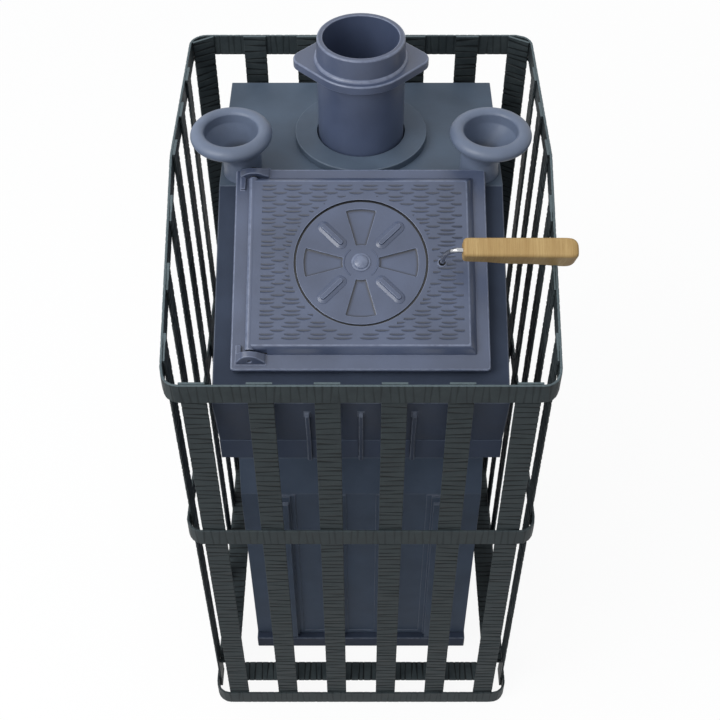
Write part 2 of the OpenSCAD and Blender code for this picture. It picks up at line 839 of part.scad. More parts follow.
// A cast door with drafted edges and a hinge barrel along its left edge
module door_plate(fw, fl) {
    hx = hinge_inset - fw / 2;
    edge = fw / 2 - edge_inset;
    half = (fl - door_l_less) / 2;
    barrel_half = half - 3;
    lx = fw / 2 - latch_inset;
    ledge_z = door_top - door_chamfer;
    top_in = door_draft + 5.5;
    notch_x = hx + lug_w / 2 + 3;
    translate([0, door_dy, 0]) difference() {
        union() {
            intersection() {
                translate([0, half, 0]) rotate([90, 0, 0]) linear_extrude(2 * half) polygon([
                    [hx, door_z], [edge, door_z], [edge - door_draft, ledge_z],
                    [edge - top_in, door_top], [hx, door_top]]);
                across(2 * fw, [
                    [-half, door_z], [half, door_z], [half - door_draft, ledge_z],
                    [half - top_in, door_top], [top_in - half, door_top], [door_draft - half, ledge_z]]);
            }
            translate([hx, barrel_half, hinge_z]) rotate([90, 0, 0])
                cylinder(r = hinge_r, h = 2 * barrel_half);
            translate([lx, latch_dy - door_dy, door_top - cut]) cylinder(r = boss_r, h = cut + 1);
        }
        translate([hx, barrel_half + cut, hinge_z]) rotate([90, 0, 0])
            cylinder(r = pin_r + pin_gap, h = 2 * (barrel_half + cut));
        for (y = [-1, 1])
            translate([hx - hinge_r - cut, y > 0 ? barrel_half : -half - cut, door_z - cut])
                cube([notch_x - hx + hinge_r + cut, half - barrel_half + cut, 2 * door_t]);
        translate([lx, latch_dy - door_dy, 0]) cylinder(r = rod_r + pin_gap, h = 2 * door_top);
    }
}

// A round sector between two radii, half the angle to each side of x
module sector(r0, r1, half, z0, z1) {
    reach = 2 * r1;
    intersection() {
        translate([0, 0, z0]) difference() {
            cylinder(r = r1, h = z1 - z0);
            translate([0, 0, -cut]) cylinder(r = r0, h = z1 - z0 + 2 * cut);
        }
        translate([0, 0, z0 - cut]) linear_extrude(z1 - z0 + 2 * cut)
            polygon([[0, 0], [reach * cos(half), -reach * sin(half)],
                [reach * cos(half), reach * sin(half)]]);
    }
}

// The frame's upper corners are hollowed a little, to pass the funnels' necks
module heater_door_frame() {
    color(IRON) difference() {
        on_slope() door_frame(heater_frame_w, heater_frame_l);
        from_front() for (x = [-1, 1])
            translate([x * neck_x, neck_y, top_z - cut])
                cylinder(r = neck_r + neck_gap, h = neck_top_z - top_z + cut);
    }
}

module heater_door_seal() {
    on_slope() door_seal(heater_frame_w, heater_frame_l);
}

module heater_door() {
    color(IRON) on_slope() difference() {
        door_plate(heater_frame_w, heater_frame_l);
        translate([0, disc_y, 0]) {
            translate([0, 0, door_z + disc_floor]) cylinder(r = disc_r + disc_gap, h = door_t);
            cylinder(r = rivet_r, h = door_top);
            for (a = [45 : 90 : 315]) rotate([0, 0, a])
                sector(disc_r * port_in, disc_r * port_out, port_half,
                    door_z - cut, door_z + disc_floor + cut);
        }
    }
}

// A hinge pin through both lugs and the door's barrel, with a small head at its upper end
module hinge_pin(fw, fl) {
    hx = hinge_inset - fw / 2;
    half = (fl - door_l_less) / 2 - 3 + lug_gap + lug_t;
    color(STEEL) translate([hx, door_dy + half, hinge_z]) rotate([90, 0, 0]) {
        cylinder(r = pin_r, h = 2 * half);
        translate([0, 0, -2]) cylinder(r = pin_r + 1.5, h = 2);
    }
}

module heater_hinge_pin() {
    on_slope() hinge_pin(heater_frame_w, heater_frame_l);
}

module regulator_disc() {
    rib_w = 9;
    rib_in = 0.42;
    rib_end = 0.80;
    rib_h = 4.5;
    color(IRON) on_slope() translate([0, disc_y, disc_z]) {
        difference() {
            cylinder(r = disc_r, h = disc_t);
            translate([0, 0, -cut]) cylinder(r = rivet_r + pin_gap, h = disc_t + 2 * cut);
            for (a = [0 : 90 : 270]) rotate([0, 0, a])
                sector(disc_r * port_in, disc_r * port_out, port_half, -cut, disc_t + cut);
        }
        for (a = [45 : 90 : 315]) rotate([0, 0, a]) translate([0, 0, disc_t - cut]) {
            translate([disc_r * rib_in, -rib_w / 2, 0])
                cube([disc_r * (rib_end - rib_in), rib_w, rib_h + cut]);
            for (x = [rib_in, rib_end])
                translate([disc_r * x, 0, 0]) cylinder(d = rib_w, h = rib_h + cut);
        }
    }
}

// The rivet that the disc turns on: a domed head, a shank and a peened end under the door
module disc_rivet() {
    head_z = disc_z + disc_t + run_gap;
    color(IRON) on_slope() translate([0, disc_y, 0]) {
        translate([0, 0, door_z - 3]) cylinder(r = rivet_r, h = head_z - door_z + 4);
        translate([0, 0, door_z - 3]) cylinder(r = rivet_r + 4, h = 3);
        translate([0, 0, head_z]) cylinder(r1 = hub_r, r2 = hub_r - 3, h = 3);
        translate([0, 0, head_z + 3]) cylinder(r1 = hub_r - 5, r2 = hub_r - 8, h = 3);
    }
}

// A latch rod: up through the door, leaning a little, and bent over into the grip
module latch_rod(fw) {
    lx = fw / 2 - latch_inset;
    color(CHROME) translate([lx, latch_dy, 0]) {
        translate([0, 0, cam_z]) cylinder(r = rod_r, h = door_top + rod_collar_z - cam_z);
        translate([0, 0, door_top]) {
            translate([0, 0, rod_collar_z]) cylinder(r = rod_r + 1.5, h = rod_collar_h);
            rotate([rod_tilt, 0, 0]) {
                translate([0, 0, rod_collar_z + cut])
                    cylinder(r = rod_r, h = rod_rise - bend_r - rod_collar_z - cut);
                translate([bend_r, 0, rod_rise - bend_r]) rotate([90, 0, 0])
                    rotate([0, 0, 90]) rotate_extrude(angle = 90) translate([bend_r, 0]) circle(rod_r);
                translate([bend_r, 0, rod_rise]) rotate([0, 90, 0])
                    cylinder(r = rod_r, h = grip_start + grip_rod_in - bend_r);
            }
        }
    }
}

// A wooden grip with a level back and a belly for the fingers
module latch_grip(fw) {
    lx = fw / 2 - latch_inset;
    end_r = 9;
    belly = 8;
    low = grip_top - grip_t;
    under = [for (k = [0 : 12]) let (t = k / 12)
        [grip_start + 3 + (grip_l - end_r - 5) * t,
            low - belly * pow(sin(90 * t), 2) * (1 - 0.18 * sin(720 * t))]];
    end = [for (a = [-60 : 30 : 60])
        [grip_start + grip_l - end_r + end_r * cos(a), grip_top - end_r - 6 + (end_r + 5) * sin(a)]];
    color(WOOD) translate([lx, latch_dy, door_top]) rotate([rod_tilt, 0, 0]) translate([0, 0, rod_rise])
        difference() {
            translate([0, grip_w / 2, 0]) rotate([90, 0, 0]) linear_extrude(grip_w) polygon(concat(
                [[grip_start, grip_top - 3], [grip_start, low + 3]], under, end,
                [[grip_start + grip_l - end_r, grip_top], [grip_start + 3, grip_top]]));
            rotate([0, 90, 0]) cylinder(r = rod_r, h = grip_start + grip_rod_in);
        }
}

// The cam on a latch rod's lower end; it points up the door at rest and turns under the frame
module latch_cam(fw) {
    lx = fw / 2 - latch_inset;
    color(STEEL) translate([lx, latch_dy, cam_z]) rotate([0, 0, cam_turn]) difference() {
        union() {
            cylinder(r = rod_r + 5, h = cam_t);
            translate([0, -cam_w / 2, 0]) cube([cam_l, cam_w, cam_t]);
        }
        translate([0, 0, -cut]) cylinder(r = rod_r, h = cam_t + 2 * cut);
    }
}

module heater_latch_rod() {
    on_slope() latch_rod(heater_frame_w);
}

module heater_latch_grip() {
    on_slope() latch_grip(heater_frame_w);
}

module heater_latch_cam() {
    on_slope() latch_cam(heater_frame_w);
}

// Places children on the tunnel's end: x to the left seen from the front, y up, z out to the back
module on_tunnel() {
    from_front() translate([0, tunnel_end_y, fire_mid_z]) rotate([90, 0, 180]) children();
}

module fuel_tunnel() {
    w = tunnel_wall;
    f = tunnel_flange_t;
    out = tunnel_flange_out;
    inside_w = tunnel_w - 2 * w;
    color(IRON) from_front() difference() {
        union() {
            slab(tunnel_w, tunnel_front_y, tunnel_end_y, tunnel_z, tunnel_top_z);
            slab(tunnel_w + 2 * out, tunnel_front_y, tunnel_front_y + f, tunnel_z, tunnel_top_z + out);
            slab(fire_frame_w - 2 * frame_neck_in, tunnel_end_y - f, tunnel_end_y,
                tunnel_z, fire_mid_z + fire_frame_l / 2 - frame_neck_in);
        }
        slab(inside_w, tunnel_front_y - cut, tunnel_end_y + cut,
            port_shelf_z + port_wall, tunnel_top_z - w);
        slab(inside_w, tunnel_front_y - cut, tunnel_end_y + cut, tunnel_z + w, port_shelf_z);
    }
}

// Hexagon bolts through the tunnel's flange into the firebox
module tunnel_bolts() {
    bolt_x = tunnel_w / 2 + tunnel_flange_out / 2;
    color(STEEL) from_front() for (x = [-1, 1], z = [tunnel_z + 30, tunnel_top_z - 20])
        translate([x * bolt_x, tunnel_front_y + tunnel_flange_t, z]) rotate([-90, 0, 0])
            cylinder(r = 7.5, h = 6, $fn = 6);
}

module fire_door_frame() {
    color(IRON) on_tunnel() door_frame(fire_frame_w, fire_frame_l);
}

module fire_door_seal() {
    on_tunnel() door_seal(fire_frame_w, fire_frame_l);
}

module fire_door() {
    color(IRON) on_tunnel() door_plate(fire_frame_w, fire_frame_l);
}

module fire_hinge_pin() {
    on_tunnel() hinge_pin(fire_frame_w, fire_frame_l);
}

module fire_latch_rod() {
    on_tunnel() latch_rod(fire_frame_w);
}

module fire_latch_grip() {
    on_tunnel() latch_grip(fire_frame_w);
}

module fire_latch_cam() {
    on_tunnel() latch_cam(fire_frame_w);
}

// The ash drawer: a tray of sheet steel behind a thicker front
module ash_drawer() {
    color(DARK_IRON) from_front() {
        difference() {
            slab(drawer_w, drawer_back_y - drawer_l, drawer_back_y + cut, drawer_z, drawer_z + drawer_h);
            slab(drawer_w - 2 * drawer_t, drawer_back_y - drawer_l + drawer_t, drawer_back_y - drawer_t,
                drawer_z + drawer_t, drawer_z + drawer_h + cut);
        }
        slab(drawer_front_w, drawer_back_y, drawer_back_y + drawer_front_t,
            tunnel_z + 2, port_shelf_z + 4);
    }
}

// A bent rod that the ash drawer is drawn out by
module ash_drawer_handle() {
    z = drawer_z + drawer_h / 2;
    y = drawer_back_y + drawer_front_t;
    straight = handle_out - handle_bend;
    color(CHROME) from_front() translate([0, y, z]) {
        for (x = [-1, 1]) translate([x * handle_w / 2, 0, 0]) mirror([x < 0 ? 1 : 0, 0, 0]) {
            rotate([-90, 0, 0]) cylinder(r = handle_r, h = straight);
            translate([-handle_bend, straight, 0]) rotate_extrude(angle = 90)
                translate([handle_bend, 0]) circle(handle_r);
        }
        translate([handle_bend - handle_w / 2, handle_out, 0]) rotate([0, 90, 0])
            cylinder(r = handle_r, h = handle_w - 2 * handle_bend);
    }
}

cage_top_ring();
cage_mid_ring();
cage_bottom_ring();
cage_front_bars();
cage_left_bars();
cage_right_bars();
cage_back_bars();
cage_left_corner_bar();
cage_right_corner_bar();
cage_shelf_front();
cage_shelf_left();
cage_shelf_right();
cage_left_tie();
cage_right_tie();
base_plate();
front_left_foot();
front_right_foot();
rear_left_foot();
rear_right_foot();
base_seal();
firebox_casting();
hearth_plate();
fire_grate();
flame_baffle();
heater_housing();
top_plate();
stone_hopper();
left_steam_duct();
right_steam_duct();
left_steam_funnel();
right_steam_funnel();
flue_base_ring();
flue_pipe();
flue_collar();
heater_door_frame();
heater_door_seal();
heater_door();
heater_hinge_pin();
regulator_disc();
disc_rivet();
heater_latch_rod();
heater_latch_grip();
heater_latch_cam();
fuel_tunnel();
tunnel_bolts();
fire_door_frame();
fire_door_seal();
fire_door();
fire_hinge_pin();
fire_latch_rod();
fire_latch_grip();
fire_latch_cam();
ash_drawer();
ash_drawer_handle();
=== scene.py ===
import random
from math import acos, atan2, cos, degrees, dist, hypot, inf, pi, radians, sin, sqrt, tan

import bmesh
import bpy
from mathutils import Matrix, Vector
from mathutils.geometry import delaunay_2d_cdt, tessellate_polygon


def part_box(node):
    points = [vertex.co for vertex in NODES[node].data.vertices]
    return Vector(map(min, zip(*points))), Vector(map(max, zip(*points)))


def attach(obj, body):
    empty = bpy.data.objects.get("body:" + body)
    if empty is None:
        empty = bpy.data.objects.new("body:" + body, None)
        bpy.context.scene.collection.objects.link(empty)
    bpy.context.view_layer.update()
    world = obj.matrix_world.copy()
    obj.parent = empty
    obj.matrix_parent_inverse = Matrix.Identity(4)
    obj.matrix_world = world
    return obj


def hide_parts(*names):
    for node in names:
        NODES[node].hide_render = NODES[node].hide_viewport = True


# Looks of the wood-burning sauna stove. Lengths are in millimetres, as in the part's source,
# with y counted from the cage's front, and become metres when a piece is made.
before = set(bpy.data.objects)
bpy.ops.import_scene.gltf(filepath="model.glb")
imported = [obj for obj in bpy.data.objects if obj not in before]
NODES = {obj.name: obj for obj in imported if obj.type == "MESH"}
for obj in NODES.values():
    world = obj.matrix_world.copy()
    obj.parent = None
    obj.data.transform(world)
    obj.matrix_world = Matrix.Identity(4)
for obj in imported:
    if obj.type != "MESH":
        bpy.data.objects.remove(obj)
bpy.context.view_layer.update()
MM = 0.001

# Up-facing ledges under this area in square metres, and walls under this height, turn paler: partly
# wear, partly a painted highlight where they face the light
LEDGE_AREA = 0.0003
LOW_WALL = 2.6

# Cage
CAGE_W, CAGE_D = 580, 660
CAGE_H, CAGE_FRONT_H = 1124, 967
CAGE_KNEE_Y, SLOPE_START_Y = 329, 10
CORNER_R = 29
STRIP_T = 4
RING_H, MID_RING_Z = 37, 567
BAR_W = 38
FRONT_BAR_X = [97.2 * i - 243 for i in range(6)]
SIDE_BAR_Y = [56 + 97.4 * i for i in range(6)]
BACK_BAR_X = [90.5 * i for i in range(-2, 3)]
SHELF_Z, SHELF_W = 80, 39
RING_PITCH, BAR_PITCH = 12, 11.8

# Housing, its slope and the rim of its front
HOUSING_FRONT_Y, HOUSING_FRONT_Z = 28, 898
HOUSING_W, HOUSING_Z = 444, 737
RIM_Y, RIM_TOP_Z = 52, 781
SLOPE_ANGLE = radians(26.6)
SLOPE_MID = 206

# Flue, on the top plate
FLUE_Y = 470
PIPE_R, BORE_R = 69, 59
TOP_Z, FLANGE_Z, FLUE_TOP_Z = 1055, 1189, 1240

# Tunnel
TUNNEL_END_Y = CAGE_D + 130
FIRE_MID_Z = 312

# Doors, in each door's own frame: x across, y up the door, z out of it. The frames are given
# by width and length. The hinge, the door's edge and the latch lie in from the frame's edges, and
# the opening and the door are smaller than the frame
HEATER_FRAME, FIRE_FRAME = (385, 323), (340, 320)
HINGE_INSET, EDGE_INSET, LATCH_INSET = 27.5, 20, 70.5
OPEN_LESS_X, OPEN_LESS_Y, DOOR_LESS = 85, 73, 38
FRAME_LOW, FRAME_TOP = 8, 20
DOOR_Z, DOOR_TOP = 20.5, 34
HINGE_Z, HINGE_R, PIN_HOLE_R = 27.3, 7, 3.05
DOOR_DY = 5
DISC_Y, DISC_R, DISC_Z, DISC_TOP = 4, 100, 29.3, 32.8
SEAT_Z, SEAT_R, PLAIN_R = 29, 101.5, 109
PORT_IN, PORT_OUT, PORT_HALF = 28, 86.5, 15.5
RIVET_R = 4
LATCH_Y, BOSS_R, ROD_HOLE_R, ROD_R = 3, 7.2, 3.55, 3.6
SLIT_PITCH, ROW_PITCH, TOP_ROW_Y, ROWS = 38.9, 6.13, 130.1, 41
SHORTEST_SLIT = 2.6
FIELD_LOW_Y, FIELD_TOP_Y = -119.6, 131.2
ROD_TILT = radians(6.2)


# Places


def level(p):
    return (p[0], p[1] - CAGE_D / 2, p[2])


def on_slope(p):
    along = SLOPE_MID + p[1]
    y = HOUSING_FRONT_Y + along * cos(SLOPE_ANGLE) - p[2] * sin(SLOPE_ANGLE)
    z = HOUSING_FRONT_Z + along * sin(SLOPE_ANGLE) + p[2] * cos(SLOPE_ANGLE)
    return (p[0], y - CAGE_D / 2, z)


def on_tunnel(p):
    return (-p[0], TUNNEL_END_Y + p[2] - CAGE_D / 2, FIRE_MID_Z + p[1])


# Outlines


def circle(r, n=64, centre=(0, 0), start=0.0, turn=360.0):
    """Points of a circle, or of an arc with both its ends, counter-clockwise."""
    count = n if turn == 360 else n + 1
    angles = [radians(start + turn * k / n) for k in range(count)]
    return [(centre[0] + r * cos(a), centre[1] + r * sin(a)) for a in angles]


def filleted(points, radius, closed=True, steps=4):
    """An outline with its corners rounded. radius is one number, or one for each corner."""
    n = len(points)
    radii = radius if isinstance(radius, (list, tuple)) else [radius] * n
    out = []
    for i in range(n):
        if radii[i] <= 0 or (not closed and i in (0, n - 1)):
            out.append(points[i])
            continue
        b = Vector(points[i])
        to_a, to_c = Vector(points[i - 1]) - b, Vector(points[(i + 1) % n]) - b
        room = 0.49 * min(to_a.length, to_c.length)
        to_a.normalize()
        to_c.normalize()
        half = to_a.angle(to_c) / 2
        reach = min(radii[i] / tan(half), room)
        r = reach * tan(half)
        centre = b + (to_a + to_c).normalized() * (r / sin(half))
        first, last = b + to_a * reach - centre, b + to_c * reach - centre
        for k in range(steps + 1):
            out.append(tuple(centre + first.slerp(last, k / steps).normalized() * r))
    return out


def rounded_rect(x0, x1, y0, y1, r, steps=5):
    return filleted([(x0, y0), (x1, y0), (x1, y1), (x0, y1)], r, steps=steps)


def centred_rect(half_x, half_y, r):
    return rounded_rect(-half_x, half_x, -half_y, half_y, r)


def quarter(steps):
    """Angles from 0 to a right angle."""
    return [pi / 2 * k / steps for k in range(steps + 1)]


def moved_left(loop, d):
    """A closed outline moved to its left by d, with mitred corners."""
    out = []
    for i, b in enumerate(loop):
        a, c = loop[i - 1], loop[(i + 1) % len(loop)]
        first = Vector((a[1] - b[1], b[0] - a[0]))
        second = Vector((b[1] - c[1], c[0] - b[0]))
        first = first.normalized() if first.length > 1e-9 else second.normalized()
        second = second.normalized() if second.length > 1e-9 else first
        shift = (first + second) * (d / max(0.3, 1 + first.dot(second)))
        out.append((b[0] + shift.x, b[1] + shift.y))
    return out


def rounding(z0, z1, bottom, top, steps):
    """Levels of a wall with round edges, as pairs of inset and height."""
    turn = quarter(steps)
    low = [(bottom * (1 - sin(a)), z0 + bottom * (1 - cos(a))) for a in turn]
    high = [(top * (1 - cos(a)), z1 - top * (1 - sin(a))) for a in turn]
    return (low if bottom else [(0, z0)]) + (high if top else [(0, z1)])


# Forms


class Form:
    """Points in millimetres and faces. Each face has a mark for rubbing and painted highlight, and each
    point a mark for painted shade.
    """

    def __init__(self, place=level):
        self.place = place
        self.points = []
        self.grooves = []
        self.faces = []
        self.wear_and_highlight = []

    def loop(self, points, groove=0.0):
        start = len(self.points)
        self.points += [self.place(p) for p in points]
        self.grooves += groove if isinstance(groove, list) else [groove] * len(points)
        return list(range(start, len(self.points)))

    def face(self, ids, wear_and_highlight=0.0):
        self.faces.append(tuple(ids))
        self.wear_and_highlight.append(wear_and_highlight)

    def bridge(self, low, high, wear_and_highlight=0.0, closed=True):
        """Faces between two loops of as many points; they look out to the right of the loops."""
        n = len(low)
        for i in range(n if closed else n - 1):
            j = (i + 1) % n
            self.face((low[i], low[j], high[j], high[i]), wear_and_highlight)

    def cap(self, loops, z, up=True, groove=0.0):
        """A flat face at height z inside the first outline and outside the others."""
        flat = [p for loop in loops for p in loop]
        triangles = tessellate_polygon([[Vector((p[0], p[1], 0)) for p in loop] for loop in loops])
        ids = self.loop([(p[0], p[1], z) for p in flat], groove)
        for a, b, c in triangles:
            pa, pb, pc = flat[a], flat[b], flat[c]
            area = (pb[0] - pa[0]) * (pc[1] - pa[1]) - (pb[1] - pa[1]) * (pc[0] - pa[0])
            if abs(area) > 1e-9:
                order = (a, b, c) if (area > 0) == up else (a, c, b)
                self.face([ids[k] for k in order])

    def walls(self, outline, levels, painted_shade_below=-inf):
        """Side walls of an outline; levels are pairs of inset and height. Returns the last outline.
        Walls below the given height get painted shade, and short rounded walls a painted highlight with
        rubbing.
        """
        before = None
        for inset, z in levels:
            shape = moved_left(outline, inset)
            ids = self.loop([(p[0], p[1], z) for p in shape], float(z < painted_shade_below))
            if before:
                short = hypot(inset - before[1], z - before[2]) < LOW_WALL
                self.bridge(before[0], ids, 1.0 if short and inset != before[1] else 0.0)
            before = (ids, inset, z)
        return shape

    def plate(self, outer, z0, z1, holes=(), top=1.0, bottom=0.6, steps=3,
            painted_shade_below=-inf, shade_painted_up=None):
        """A plate between two heights with holes and round edges. All outlines run counter-clockwise.

        Its outer wall can carry painted shade below a height, and its upper or lower face painted shade
        as well."""
        levels = rounding(z0, z1, bottom, top, steps)
        loops = [list(outer)] + [list(reversed(h)) for h in holes]
        tops = [self.walls(loops[0], levels, painted_shade_below)] + [self.walls(h, levels) for h in loops[1:]]
        lows = [moved_left(loop, levels[0][0]) for loop in loops]
        for outlines, z, up in ((tops, z1, True), (lows, z0, False)):
            if shade_painted_up == up:
                inner = [moved_left(loop, 0.25) for loop in outlines]
                for rim, shade_painted in zip(outlines, inner):
                    pair = self.loop([(*p, z) for p in rim]), self.loop([(*p, z) for p in shade_painted], 1.0)
                    self.bridge(*(pair if up else reversed(pair)))
                outlines = inner
            self.cap(outlines, z, up, float(shade_painted_up == up))

    def lathe(self, profile, sides=96, centre=(0, 0), closed=True, shade_painted=()):
        """A profile of radius and height, turned about an upright axis. It starts at the outer foot.
        The rings given by index carry painted shade, and short walls a painted highlight with rubbing.
        """
        rings = []
        for i, (r, z) in enumerate(profile):
            points = [(x, y, z) for x, y in circle(max(r, 0.01), sides, centre)]
            rings.append(self.loop(points, float(i in shade_painted)))
        pairs = list(zip(range(len(rings)), range(1, len(rings))))
        if closed:
            pairs.append((len(rings) - 1, 0))
        for i, j in pairs:
            short = dist(profile[i], profile[j]) < LOW_WALL
            self.bridge(rings[i], rings[j], 1.0 if short else 0.0)

    def loft(self, sections):
        """A closed form through sections that follow each other."""
        ids = [self.loop(section) for section in sections]
        for low, high in zip(ids, ids[1:]):
            self.bridge(low, high)
        self.face(list(reversed(ids[0])))
        self.face(ids[-1])

    def tube(self, path, radius, sides=24):
        """A round rod along a path of points, with flat ends."""
        path = [Vector(p) for p in path]
        side = (path[1] - path[0]).normalized().orthogonal().normalized()
        rings = []
        for i, p in enumerate(path):
            along = (path[min(i + 1, len(path) - 1)] - path[max(i - 1, 0)]).normalized()
            side = (side - along * side.dot(along)).normalized()
            other = along.cross(side)
            rings.append([tuple(p + side * x + other * y) for x, y in circle(radius, sides)])
        self.loft(rings)

    def strip(self, place, length, width, pitch, rng, closed=False, limit=None, depth=1.0, edge_wear_and_sheen=1.0):
        """A hammered flat strip. place(u, w, n) gives a point along, across and out of it.

        Grooves with a random lean run across both its faces, with painted shade down their middles, and
        the facets between them tilt.
        A closed strip's upper edge turns paler by the given share, and an open strip's top end turns
        paler: partly from rubbing, partly a painted highlight where they face the light."""
        half = STRIP_T / 2
        chamfer = 0.7
        columns = [0, chamfer, width * 0.35, width * 0.68, width - chamfer, width]
        count = max(4, round(length / pitch))
        edges = [0.0] + [(i + 0.5 + rng.uniform(-0.22, 0.22)) * length / count for i in range(count)]
        stations = []
        for i in range(1, len(edges)):
            lean, bow = rng.uniform(-1.6, 1.6), rng.uniform(-0.3, 0.3)
            half_gap, deep = rng.uniform(1.5, 2.5), depth * rng.uniform(0.7, 1.15)
            taper = half_gap * rng.choice((-1, 1)) * rng.uniform(0.1, 0.85)
            for side, mark in ((-1, 0.0), (0, depth), (1, 0.0)):
                tilt = deep if mark else depth * rng.uniform(0.0, 0.35)
                stations.append((edges[i] + side * half_gap, lean + side * taper, bow, tilt, mark))
        if not closed:
            stations = [(0.0, 0, 0, 0, 0)] + stations + [(length, 0, 0, 0, 0)]
        rings = []
        for u, lean, bow, deep, mark in stations:
            ring = []
            for face in (-1, 1):
                order = columns if face < 0 else reversed(columns)
                for w in order:
                    t = w / width - 0.5
                    at = u + lean * 2 * t + bow * (1 - 4 * t * t) * face
                    if not closed:
                        at = min(max(at, 0.0), limit(w) if limit else length)
                    on_edge = w in (0, width)
                    n = face * (half - deep - (chamfer if on_edge else 0))
                    notch = (0.45 * mark if on_edge else 0) * (1 if w == 0 else -1)
                    ring.append(place(at, w + notch, n))
            rings.append(self.loop(ring, mark))
        count = len(columns)
        for low, high in zip(rings, rings[1:] + rings[:1] if closed else rings[1:]):
            self.bridge(low, high)
            if closed:
                for k in range(count, count + 3):
                    self.wear_and_highlight[-k] = edge_wear_and_sheen
        if not closed:
            self.face(list(reversed(rings[0])))
            self.face(rings[-1], 1.0)

    def piece(self, name, node, body, slot, material, crease=34):
        """The form as an object that stands for a CAD node and rides on a body."""
        merge = 0.004 * MM
        mesh = bpy.data.meshes.new(name)
        mesh.from_pydata([tuple(c * MM for c in p) for p in self.points], [], self.faces)
        for mark, domain, values in (("groove", "POINT", self.grooves), ("wear_and_highlight", "FACE", self.wear_and_highlight)):
            mesh.attributes.new(mark, "FLOAT", domain).data.foreach_set("value", values)
        bm = bmesh.new()
        bm.from_mesh(mesh)
        bmesh.ops.remove_doubles(bm, verts=bm.verts, dist=merge)
        bmesh.ops.dissolve_degenerate(bm, edges=bm.edges, dist=merge)
        crease_edges(bm, crease)
        bm.to_mesh(mesh)
        bm.free()
        settle(new_object(name, mesh), [node], body, material)


def new_object(name, data):
    obj = bpy.data.objects.new(name, data)
    bpy.context.scene.collection.objects.link(obj)
    return obj


def crease_edges(bm, crease):
    for face in bm.faces:
        face.smooth = True
    for edge in bm.edges:
        edge.smooth = len(edge.link_faces) == 2 and edge.calc_face_angle(0) < radians(crease)


def settle(obj, nodes, body, material):
    obj.data.materials.clear()
    obj.data.materials.append(material)
    normals = obj.modifiers.new("flat faces", "WEIGHTED_NORMAL")
    normals.keep_sharp = True
    normals.weight = 100
    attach(obj, body)
    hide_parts(*nodes)


def eased_copy(node, body, material, width=1.5, steps=2):
    """A copy of a CAD node with its sharp edges rounded, and those edges and its small up-facing ledges
    turned paler: partly from rubbing, partly a painted highlight.
    """
    mesh = NODES[node].data.copy()
    bm = bmesh.new()
    bm.from_mesh(mesh)
    bmesh.ops.remove_doubles(bm, verts=bm.verts, dist=0.00001)
    bmesh.ops.dissolve_limit(bm, angle_limit=radians(0.5), verts=bm.verts, edges=bm.edges)
    wear_and_highlight = bm.faces.layers.float.new("wear_and_highlight")
    for face in bm.faces:
        if face.normal.z > 0.5 and face.calc_area() < LEDGE_AREA:
            face[wear_and_highlight] = 1.0
    bmesh.ops.connect_verts_concave(bm, faces=bm.faces)
    sharp = [e for e in bm.edges if len(e.link_faces) == 2 and e.calc_face_angle(0) > radians(20)]
    made = bmesh.ops.bevel(bm, geom=sharp, offset=width * MM, offset_type="OFFSET", segments=steps,
        profile=0.5, affect="EDGES", clamp_overlap=True)
    for face in made["faces"]:
        face[wear_and_highlight] = 1.0
    bmesh.ops.triangulate(bm, faces=[f for f in bm.faces if len(f.verts) > 4])
    crease_edges(bm, 34)
    bm.to_mesh(mesh)
    bm.free()
    settle(new_object(node + "_eased", mesh), [node], body, material)


# Materials


class Nodes:
    """Short calls for building the nodes of a new material, or of a new world."""

    def __init__(self, name, library=bpy.data.materials):
        self.owner = library.new(name)
        self.owner.use_nodes = True
        self.tree = self.owner.node_tree
        self.shader = self.tree.nodes.get("Principled BSDF")
        self.where = self.tree.nodes.new("ShaderNodeTexCoord").outputs

    def make(self, kind, inputs=(), **settings):
        node = self.tree.nodes.new(kind)
        for key, value in settings.items():
            setattr(node, key, value)
        for key, value in dict(inputs).items():
            self.feed(node.inputs[key], value)
        return node

    def feed(self, socket, value):
        if isinstance(value, bpy.types.NodeSocket):
            self.tree.links.new(value, socket)
        else:
            socket.default_value = value

    def scaled(self, size):
        """Object coordinates in which one unit is size millimetres, one number or three."""
        sizes = size if isinstance(size, tuple) else (size,) * 3
        scale = [1 / (s * MM) for s in sizes]
        mapping = self.make("ShaderNodeMapping", {"Vector": self.where["Object"], "Scale": scale})
        return mapping.outputs["Vector"]

    def noise(self, size, detail=2.0, rough=0.5):
        node = self.make("ShaderNodeTexNoise",
            {"Vector": self.scaled(size), "Scale": 1.0, "Detail": detail, "Roughness": rough})
        return node.outputs["Fac"]

    def ramp(self, value, low, high, out_low=0.0, out_high=1.0):
        node = self.make("ShaderNodeMapRange",
            {"Value": value, "From Min": low, "From Max": high, "To Min": out_low, "To Max": out_high})
        return node.outputs["Result"]

    def maths(self, kind, a, b):
        return self.make("ShaderNodeMath", {0: a, 1: b}, operation=kind).outputs[0]

    def blend(self, factor, a, b):
        a, b = [(*c, 1.0) if isinstance(c, tuple) else c for c in (a, b)]
        return self.make("ShaderNodeMix", {0: factor, 6: a, 7: b}, data_type="RGBA").outputs[2]

    def mark(self, name):
        return self.make("ShaderNodeAttribute", attribute_name=name).outputs["Fac"]

    def bump(self, height, size, strength=1.0, normal=None):
        inputs = {"Height": height, "Distance": size * MM, "Strength": strength}
        if normal:
            inputs["Normal"] = normal
        return self.make("ShaderNodeBump", inputs).outputs["Normal"]

    def finish(self, colour, roughness, normal, **uniform):
        self.feed(self.shader.inputs["Base Color"], colour)
        self.feed(self.shader.inputs["Roughness"], roughness)
        self.feed(self.shader.inputs["Normal"], normal)
        for key, value in uniform.items():
            self.shader.inputs[key.replace("_", " ")].default_value = value
        return self.owner

    def mixed(self, factor, a, b):
        return self.make("ShaderNodeMixShader", {0: factor, 1: a, 2: b}).outputs[0]

    def show(self, shader, output):
        self.tree.links.new(shader, self.tree.nodes[output].inputs["Surface"])


